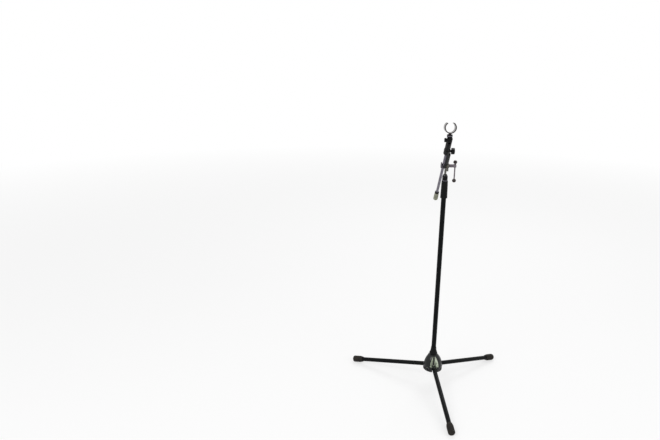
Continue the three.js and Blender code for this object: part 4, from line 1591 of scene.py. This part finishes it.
@dataclass(frozen=True)
class BoomClamp(Part):
    """The eye bolt round the boom and the saddle that it pulls the boom into.

    On the clamp's axis the own Z runs to the right and the own X along the boom.
    """

    eye_wall: float = 0.0026
    eye_right: float = 0.0084
    head_thickness: float = 0.0027
    head_rise: float = 0.0012
    head_offset: float = 0.008
    shank_radius: float = 0.0035
    saddle_wall: float = 0.0026
    arm_half_width: float = 0.007
    arm_half_depth: float = 0.0055
    arm_room: float = 0.0008
    saddle_ease: float = 0.0007

    def build(self) -> None:
        """Builds both pieces."""
        self.eye_bolt()
        self.saddle()

    @property
    def offset(self) -> float:
        """How far to the right of the upright the boom passes. It is negative."""
        return self.axes.boom.origin.x - self.axes.clamp.origin.x

    @property
    def boom_bore(self) -> float:
        """The radius of the way for the boom."""
        return self.axes.boom.reach("boom_tube").outer + GAP

    @property
    def eye_radius(self) -> float:
        """The radius of the eye's barrel."""
        return self.boom_bore + self.eye_wall

    def boom_way(self, reach: float) -> Solid:
        """The way for the boom, as a cutter."""
        return Solid.bar(self.boom_bore, -reach, reach).laid(across(self.offset))

    def eye_bolt(self) -> None:
        """The eye, its oblong head at the left and its shank to the right."""
        reach = self.axes.clamp.reach("eye_bolt")
        right = self.offset + self.eye_right
        barrel = Solid.bar(self.eye_radius, reach.low, right)
        radius = self.eye_radius + self.head_rise
        low_end = arc((0, 0), (radius, radius), QUARTER_TURN, 3 * QUARTER_TURN)
        high_end = arc((self.head_offset, 0), (radius, radius), -QUARTER_TURN, QUARTER_TURN)
        plate = Solid.pushed([*low_end, *high_end], reach.low, reach.low + self.head_thickness)
        shank = Solid.bar(self.shank_radius, right - OVERRUN, reach.high, SOFT, Sides.SMALL)
        way = self.boom_way(radius + self.head_offset + OVERRUN)
        made = barrel.joined(plate, shank).cut(way).eased(FULL)
        self.shop.show("clamp_eye_bolt", made, self.axes.clamp, "boom_clamp", Slot.STEEL, "eye_bolt")

    def saddle(self) -> None:
        """The cup round the eye, with an arm along the boom."""
        clamp = self.axes.clamp
        low, high = clamp.corners("boom_saddle")
        disc = clamp.reach("friction_disc")
        right = disc.low - GAP
        eye_right = self.offset + self.eye_right
        radius = self.eye_radius + GAP + self.saddle_wall
        cup = Solid.bar(radius, self.offset, right)
        half_width = self.arm_half_width
        arm = Solid.block(
            (radius / 2, -self.arm_half_depth, -half_width),
            (high.x, self.arm_half_depth, half_width),
        )
        root = Solid.block(
            (low.x - OVERRUN, -radius, right),
            (disc.outer + self.arm_room, radius, half_width + OVERRUN),
        )
        pocket = Solid.bar(self.eye_radius + GAP, self.offset - OVERRUN, eye_right + GAP)
        hole = Solid.bar(self.shank_radius + GAP, eye_right - OVERRUN, right + OVERRUN, sides=Sides.SMALL)
        arm_only = arm.cut(root)
        made = cup.joined(arm_only).cut(pocket, hole, self.boom_way(high.x + OVERRUN)).eased(self.saddle_ease)
        self.shop.show("clamp_saddle", made, clamp, "boom_clamp", Slot.CAST_BLACK, "boom_saddle")


@dataclass(frozen=True)
class Lobes:
    """The lobes of a moulded knob."""

    count: int
    depth: float

    def ripple(self, outer: float, core: float) -> Ripple:
        """How the lobes change a knob's radius.

        Args:
            outer: The knob's radius over its lobes.
            core: The radius below which the knob stays round.

        Returns:
            A radius from an angle, a radius and a height.
        """

        def lobed(angle: float, radius: float, height: float) -> float:
            """The knob's radius at an angle."""
            share = max(0.0, (radius - core) / (outer - core))
            return radius - self.depth * share * (1 - math.cos(self.count * angle))

        return lobed


@dataclass(frozen=True)
class Boom(Part):
    """The boom's tube with its rear cap, its front collar and its thumb screw."""

    cap_edge: float = 0.003
    cap_wall: float = 0.0027
    cap_band: float = 0.001
    cap_sweep: float = 0.003
    cap_lip: float = 0.0007
    rim_edge: float = 0.0012
    collar_edge: float = 0.0016
    boss_wall: float = 0.0025
    boss_rise: float = 0.0019
    neck_wall: float = 0.0015
    neck: float = 0.0018
    knob_edge: float = 0.0022
    dish: float = 0.0008
    dish_edge: float = 0.001
    dish_share: float = 0.5
    face_share: float = 0.62
    lobes: Lobes = Lobes(8, 0.0007)

    def build(self) -> None:
        """Builds every piece."""
        self.pipe("boom_outer_tube", self.axes.boom, "boom", Slot.NICKEL, "boom_tube")
        self.rim()
        self.cap()
        self.collar()
        self.stud()
        self.knob()

    def rim(self) -> None:
        """The black rim in front of the cap."""
        reach = self.axes.boom.reach("boom_end_rim")
        corners = [
            (reach.inner, reach.low, CRISP),
            (reach.outer, reach.low, EASY),
            (reach.outer, reach.high, self.rim_edge),
            (reach.inner, reach.high, CRISP),
        ]
        made = Solid.lathed(corners)
        self.shop.show("boom_rim", made, self.axes.boom, "boom", Slot.RUBBER_BLACK, "boom_end_rim")

    def cap(self) -> None:
        """The grey rubber cap over the boom's rear end."""
        boom = self.axes.boom
        reach = boom.reach("boom_end_cap")
        tube = boom.reach("boom_tube")
        bore = tube.outer + GAP
        front = bore + self.cap_wall
        corners = [
            (0, reach.low, 0),
            (reach.outer, reach.low, self.cap_edge),
            (reach.outer, reach.low + self.cap_edge + self.cap_band, self.cap_sweep),
            (front, reach.high, self.cap_lip),
            (bore, reach.high, CRISP),
            (bore, tube.low - GAP, 0),
            (0, tube.low - GAP, 0),
        ]
        made = Solid.lathed(corners)
        self.shop.show("boom_cap", made, boom, "boom", Slot.RUBBER_GREY, "boom_end_cap")

    def collar(self) -> None:
        """The collar at the tube's front end, with a boss for the thumb screw."""
        boom = self.axes.boom
        reach = boom.reach("boom_collar")
        tube = boom.reach("boom_tube")
        rod = boom.reach("boom_rod")
        bore = tube.outer + GAP
        radius = self.collar_radius
        hole = self.axes.thumb.reach("thumb_screw_stud").outer + GAP
        corners = [
            (bore, reach.low, CRISP),
            (radius, reach.low, self.collar_edge),
            (radius, reach.high, self.collar_edge),
            (rod.outer + GAP, reach.high, CRISP),
            (rod.outer + GAP, tube.high + GAP, 0),
            (bore, tube.high + GAP, 0),
        ]
        sideways = across(self.screw_place)
        boss_end = radius + self.boss_rise
        boss = Solid.bar(hole + self.boss_wall, bore + OVERRUN, boss_end, sides=Sides.SMALL).laid(sideways)
        way = Solid.bar(hole, 0, boss_end + OVERRUN, sides=Sides.SMALL).laid(sideways)
        made = Solid.lathed(corners).joined(boss).cut(way).eased(EASY)
        self.shop.show("boom_clamping_collar", made, boom, "boom", Slot.PLASTIC_BLACK, "boom_collar")

    @property
    def screw_place(self) -> float:
        """How far along the boom the thumb screw is."""
        return (self.axes.thumb.origin - self.axes.boom.origin).dot(self.axes.boom.along)

    @property
    def collar_radius(self) -> float:
        """The collar's radius without its boss."""
        low, _ = self.axes.boom.corners("boom_collar")
        return -low.x

    def stud(self) -> None:
        """The thumb screw's stud, which bears on the rod."""
        thumb = self.axes.thumb
        reach = thumb.reach("thumb_screw_stud")
        made = Solid.bar(reach.outer, reach.low, reach.high, EASY, Sides.SMALL)
        self.shop.show("thumb_stud", made, thumb, "thumb_screw", Slot.STEEL, "thumb_screw_stud")

    def knob(self) -> None:
        """The thumb screw's lobed knob, dished in its outer face."""
        thumb = self.axes.thumb
        reach = thumb.reach("thumb_screw_knob")
        stud = thumb.reach("thumb_screw_stud")
        bore = stud.outer + GAP
        neck = bore + self.neck_wall
        start = reach.low + self.neck
        corners = [
            (0, stud.high + GAP, 0),
            (bore, stud.high + GAP, 0),
            (bore, reach.low, CRISP),
            (neck, reach.low, FINE),
            (neck, start, FULL),
            (reach.outer, start, self.knob_edge),
            (reach.outer, reach.high, self.knob_edge),
            (reach.outer * self.face_share, reach.high, self.dish_edge),
            (reach.outer * self.dish_share, reach.high - self.dish, self.dish_edge),
            (0, reach.high - self.dish, 0),
        ]
        ripple = self.lobes.ripple(reach.outer, neck)
        made = Solid.lathed(corners, Sides.LARGE, ripple)
        self.shop.show("thumb_knob", made, thumb, "thumb_screw", Slot.PLASTIC_BLACK, "thumb_screw_knob")


@dataclass(frozen=True)
class Rod(Part):
    """The boom's inner rod with the clip's socket and pivot at its front end."""

    fork_rise: float = 0.011
    edge: float = 0.0014
    half_tongue: float = 0.0037
    screw_radius: float = 0.0024
    head_radius: float = 0.005
    head_sink: float = 0.001
    head_height: float = 0.0024
    head_edge: float = 0.0009
    slot_half: float = 0.0005
    slot_depth: float = 0.0009
    slot_turn: float = 0.5
    ring_pitch: float = 0.003
    ring_start_share: float = 1.5
    ring_half_share: float = 0.2
    ring_depth: float = 0.0004
    rings: int = 5
    knob_edge: float = 0.0016
    lobes: Lobes = Lobes(10, 0.0005)

    def build(self) -> None:
        """Builds every piece, and dresses those inside."""
        self.pipe("boom_inner_rod", self.axes.boom, "rod", Slot.NICKEL, "boom_rod")
        self.shop.dress("rod_guide", Slot.PLASTIC_BLACK)
        self.shop.dress("adaptor_insert", Slot.BRASS)
        self.socket()
        self.screw()
        self.knob()

    @property
    def clip_place(self) -> float:
        """How far along the boom the clip's pivot is."""
        return (self.axes.clip.origin - self.axes.boom.origin).dot(self.axes.boom.along)

    def socket(self) -> None:
        """The socket on the rod, with grip rings and a fork for the clip's tongue."""
        boom = self.axes.boom
        reach = boom.reach("clip_adaptor")
        rod = boom.reach("boom_rod")
        insert = boom.reach("adaptor_insert")
        end = self.clip_place - self.fork_rise
        corners = [
            (0, rod.high + GAP, 0),
            (rod.outer + GAP, rod.high + GAP, 0),
            (rod.outer + GAP, insert.high + GAP, 0),
            (insert.outer + GAP, insert.high + GAP, 0),
            (insert.outer + GAP, reach.low, CRISP),
            (reach.outer, reach.low, self.edge),
        ]
        for i in range(self.rings):
            middle_of_ring = reach.low + self.ring_pitch * (i + self.ring_start_share)
            half = self.ring_pitch * self.ring_half_share
            corners += [(reach.outer, middle_of_ring - half, FINE)]
            corners += [(reach.outer - self.ring_depth, middle_of_ring, EASY)]
            corners += [(reach.outer, middle_of_ring + half, FINE)]
        corners += [(reach.outer, reach.high, 0), (0, reach.high, 0)]
        bar = Solid.lathed(corners)
        shaped = bar.kept(self.side_shape(reach, end)).cut(self.tongue_way(reach, end))
        made = shaped.eased(EASY).cut(self.screw_way(reach.outer))
        self.shop.show("clip_socket", made, boom, "rod", Slot.PLASTIC_BLACK, "clip_adaptor")

    def side_shape(self, reach: Reach, end: float) -> Solid:
        """The socket's shape from the side: a full body with round ears in front of it.

        Args:
            reach: The socket's reach along the boom.
            end: Where the ears start.

        Returns:
            The shape, wider than the socket.
        """
        radius = reach.high - self.clip_place
        wide = reach.outer + OVERRUN
        top = arc((0, self.clip_place), (radius, radius), 0, HALF_TURN, FINE_STEP)
        foot = reach.low - OVERRUN
        outline = [(-wide, foot), (wide, foot), (wide, end), (radius, end), *top, (-radius, end), (-wide, end)]
        sideways = Matrix.Rotation(QUARTER_TURN, 4, "Z") @ Matrix.Rotation(QUARTER_TURN, 4, "X")
        return Solid.pushed(outline, -wide, wide).laid(sideways)

    def tongue_way(self, reach: Reach, end: float) -> Solid:
        """The room for the clip's tongue between the ears, as a cutter.

        Args:
            reach: The socket's reach along the boom.
            end: Where the ears start.

        Returns:
            The cutter.
        """
        half = self.half_tongue + GAP
        wide = reach.outer + OVERRUN
        return Solid.block((-half, -wide, end), (half, wide, reach.high + OVERRUN))

    def screw_way(self, outer: float) -> Solid:
        """The hole for the pivot screw and the seat of its head, as a cutter.

        Args:
            outer: The socket's radius.

        Returns:
            The cutter.
        """
        wide = outer + OVERRUN
        hole = Solid.bar(self.screw_radius + GAP, -wide, wide, sides=Sides.SMALL)
        seat = Solid.bar(self.head_radius + GAP, self.head_start - GAP, wide, sides=Sides.SMALL)
        return hole.joined(seat).laid(across(self.clip_place))

    @property
    def head_start(self) -> float:
        """How far to the right of the boom's axis the pivot screw's head starts."""
        return self.axes.boom.reach("clip_adaptor").outer - self.head_sink - self.head_height

    def screw(self) -> None:
        """The screw that the clip tilts on, with a slotted head sunk in the right ear."""
        pivot = self.axes.pivot
        reach = pivot.reach("clip_pivot_screw")
        corners = [
            (0, reach.low, 0),
            (self.screw_radius, reach.low, EASY),
            (self.screw_radius, self.head_start, 0),
            (reach.outer, self.head_start, FINE),
            (reach.outer, reach.high, self.head_edge),
            (0, reach.high, 0),
        ]
        slot = Solid.block(
            (-2 * reach.outer, -self.slot_half, reach.high - self.slot_depth),
            (2 * reach.outer, self.slot_half, reach.high + OVERRUN),
        )
        made = Solid.lathed(corners, Sides.SMALL).cut(slot.swung(self.slot_turn, "Z"))
        self.shop.show("clip_screw", made, pivot, "rod", Slot.STEEL, "clip_pivot_screw")

    def knob(self) -> None:
        """The lobed knob on the screw's left end."""
        pivot = self.axes.pivot
        reach = pivot.reach("clip_knob")
        floor = pivot.reach("clip_pivot_screw").low - GAP
        bore = self.screw_radius + GAP
        corners = [
            (0, reach.low, 0),
            (reach.outer, reach.low, self.knob_edge),
            (reach.outer, reach.high, self.knob_edge),
            (bore, reach.high, CRISP),
            (bore, floor, 0),
            (0, floor, 0),
        ]
        ripple = self.lobes.ripple(reach.outer, bore)
        made = Solid.lathed(corners, Sides.FLUTED, ripple)
        self.shop.show("clip_lock_knob", made, pivot, "clip_lock", Slot.PLASTIC_BLACK, "clip_knob")


@dataclass(frozen=True)
class Clip(Part):
    """The microphone clip: its base, ring, cap and C-shaped spring."""

    pivot_radius: float = 0.009
    half_tongue: float = 0.0037
    screw_radius: float = 0.0024
    band: float = 0.0036
    mouth: float = 0.020
    lip: float = 0.0021
    stem: float = 0.0032
    stem_half_width: float = 0.0035
    stem_half_depth: float = 0.007
    ring_edge: float = 0.0007
    cap_edge: float = 0.0012
    ease: float = 0.0009

    def build(self) -> None:
        """Builds every piece."""
        self.base()
        clip = self.axes.clip
        self.pipe("clip_band", clip, "clip", Slot.NICKEL, "clip_ring", self.ring_edge)
        reach = clip.reach("clip_cap")
        corners = [
            (reach.inner, reach.low, CRISP),
            (reach.outer, reach.low, SOFT),
            (reach.outer, reach.high, self.cap_edge),
            (reach.inner, reach.high, FINE),
        ]
        cap = Solid.lathed(corners)
        self.shop.show("clip_cap_moulding", cap, clip, "clip", Slot.PLASTIC_BLACK, "clip_cap")
        self.spring()

    @property
    def body_reach(self) -> tuple[float, float]:
        """Where the base's round foot starts and ends."""
        ring = self.axes.clip.reach("clip_ring")
        start = self.pivot_radius + 2 * GAP
        return start, ring.low - GAP

    def base(self) -> None:
        """The tongue between the fork's ears, with the round foot of the clip on it."""
        clip = self.axes.clip
        start, end = self.body_reach
        half = self.half_tongue
        web = Solid.block((-half, -self.pivot_radius, 0), (half, self.pivot_radius, start + OVERRUN))
        knuckle = Solid.bar(self.pivot_radius, -half, half).laid(across())
        foot = Solid.bar(clip.corners("clip_body")[1].x, start, end, FULL)
        hole = Solid.bar(self.screw_radius + GAP, -half - OVERRUN, half + OVERRUN, sides=Sides.SMALL)
        seat = Solid.bar(clip.reach("clip_ring").inner, end - (end - start) / 2, end + OVERRUN)
        made = foot.joined(web, knuckle).cut(hole.laid(across()), seat).eased(EASY)
        self.shop.show("clip_base", made, clip, "clip", Slot.PLASTIC_BLACK, "clip_body")

    def spring(self) -> None:
        """The spring that grips the microphone, open at the top, on its stem."""
        clip = self.axes.clip
        low, high = clip.corners("clip_spring")
        cap = clip.reach("clip_cap")
        start, end = self.body_reach
        radius = high.x
        stem_start = cap.high + GAP
        centre = stem_start + self.stem + radius
        middle_radius = radius - self.band / 2
        opening = math.asin((self.mouth / 2 + self.lip) / middle_radius)
        ends = [QUARTER_TURN + way * opening for way in (1, -1)]
        upright = Matrix.Translation((0, 0, centre)) @ Matrix.Rotation(QUARTER_TURN, 4, "X")
        corners = [
            (radius - self.band, low.y, self.ease),
            (radius, low.y, self.ease),
            (radius, high.y, self.ease),
            (radius - self.band, high.y, self.ease),
        ]
        far = 2 * radius
        gap = [(0, 0), *((far * math.cos(angle), far * math.sin(angle)) for angle in reversed(ends))]
        band = Solid.lathed(corners, Sides.FLUTED).cut(
            Solid.pushed(gap, low.y - OVERRUN, high.y + OVERRUN)
        )
        tips = [
            Solid.bar(self.lip, low.y, high.y, self.ease, Sides.SMALL).at(
                (middle_radius * math.cos(angle), middle_radius * math.sin(angle), 0)
            )
            for angle in ends
        ]
        stem = Solid.block(
            (-self.stem_half_width, -self.stem_half_depth, stem_start),
            (self.stem_half_width, self.stem_half_depth, centre - middle_radius),
        )
        root_radius = cap.inner - GAP
        root = Solid.bar(root_radius, end - (end - start) / 2 + GAP, stem_start + OVERRUN)
        made = band.joined(*tips).laid(upright).joined(stem.eased(self.ease / 2), root)
        self.shop.show("clip_spring_c", made, clip, "clip", Slot.PLASTIC_BROWN, "clip_spring")


# The studio


@dataclass(frozen=True)
class Lamp:
    """A soft square lamp."""

    name: str
    place: Corner
    size: float
    power: float

    def build(self, target: Vector) -> None:
        """Hangs the lamp, facing a target.

        Args:
            target: What it faces.
        """
        light = bpy.data.lights.new(self.name, "AREA")
        light.shape = "SQUARE"
        light.size = self.size
        light.energy = self.power
        made = bpy.data.objects.new(self.name, light)
        made.location = self.place
        made.rotation_euler = (target - Vector(self.place)).to_track_quat("-Z", "Y").to_euler()
        bpy.context.scene.collection.objects.link(made)


@dataclass(frozen=True)
class Studio:
    """The pale floor, the lamps, the surroundings and the camera."""

    axes: Axes
    floor_radius: float = 9.0
    floor_grey: float = 0.86
    floor_roughness: float = 0.7
    near_glow: float = 0.62
    fade_start: float = 1.5
    fade_end: float = 6.0
    room_light: float = 0.55
    focal_length: float = 32.35
    camera_place: Corner = (-0.3137, -2.2336, 1.378)
    yaw: float = math.radians(3.17)
    pitch: float = math.radians(16.735)
    roll: float = math.radians(-0.56)
    lamps: tuple[Lamp, ...] = (
        Lamp("key", (-1.9, -2.3, 2.9), 1.8, 62),
        Lamp("fill", (2.4, -1.6, 1.9), 1.6, 24),
        Lamp("back", (0.6, 2.4, 2.8), 1.8, 34),
    )

    def build(self) -> None:
        """Builds the studio."""
        self.floor()
        self.surroundings()
        target = self.axes.upright.origin + UP * (self.axes.head.origin.z / 2)
        for lamp in self.lamps:
            lamp.build(target)
        self.camera()
        bpy.context.scene.view_settings.view_transform = "Standard"

    def floor(self) -> None:
        """A pale floor that keeps the shadow and runs into the background far out."""
        sheet = bmesh.new()
        bmesh.ops.create_circle(sheet, cap_ends=True, radius=self.floor_radius, segments=96)
        mesh = bpy.data.meshes.new("floor")
        sheet.to_mesh(mesh)
        sheet.free()
        made = Sheet(bpy.data.materials.new("studio_floor"))
        made.set(Base_Color=(*[self.floor_grey] * 3, 1), Roughness=self.floor_roughness)
        place = made.node("ShaderNodeTexCoord", {}, {}).outputs["Object"]
        length = made.node("ShaderNodeVectorMath", {"operation": "LENGTH"}, {0: place}).outputs["Value"]
        far = Value(made, length).over((self.fade_start + self.fade_end) / 2, self.fade_end - self.fade_start)
        seen = made.seen()
        glow = made.node("ShaderNodeEmission", {}, {"Color": (1, 1, 1, 1), "Strength": 1.0})
        factor = seen * (self.near_glow + (1 - self.near_glow) * far)
        inputs = {0: factor, 1: made.shader.outputs[0], 2: glow.outputs[0]}
        mixed = made.node("ShaderNodeMixShader", {}, inputs)
        made.feed(made.tree.nodes["Material Output"].inputs["Surface"], mixed.outputs[0])
        mesh.materials.append(made.owner)
        floor = bpy.data.objects.new("floor", mesh)
        bpy.context.scene.collection.objects.link(floor)

    def surroundings(self) -> None:
        """White surroundings where they are seen, and a plain soft light elsewhere."""
        made = Sheet(bpy.data.worlds.new("surroundings"), "Background")
        bpy.context.scene.world = made.owner
        strength = made.node("ShaderNodeMix", {}, {0: made.seen(), 2: self.room_light, 3: 1.0})
        made.set(Color=(1, 1, 1, 1), Strength=strength.outputs[0])

    def camera(self) -> None:
        """The camera at the photograph's viewing angle."""
        data = bpy.data.cameras.new("camera")
        data.lens = self.focal_length
        camera = bpy.data.objects.new("camera", data)
        turn = Matrix.Rotation(self.yaw, 3, "Z") @ Matrix.Rotation(-self.pitch, 3, "X")
        right = turn @ RIGHT
        up = turn @ UP
        across = math.cos(self.roll) * right - math.sin(self.roll) * up
        over = math.sin(self.roll) * right + math.cos(self.roll) * up
        back = across.cross(over)
        offset = self.axes.upright.origin
        facing = Matrix((across, over, back)).transposed().to_4x4()
        camera.matrix_world = Matrix.Translation(Vector(self.camera_place) + offset) @ facing
        bpy.context.scene.collection.objects.link(camera)
        bpy.context.scene.camera = camera


def main() -> None:
    """Builds the whole scene."""
    logging.basicConfig(level=logging.INFO, format="%(message)s")
    axes = Axes()
    shop = Workshop()
    TripodHub(shop, axes).build()
    for name in axes.legs:
        Leg(shop, axes, name).build()
    for part in (Upright, Swivel, BarLock, BoomClamp, Boom, Rod, Clip):
        part(shop, axes).build()
    Studio(axes).build()
    log.info("%d pieces made", len(shop.made))


if __name__ == "__main__":
    main()
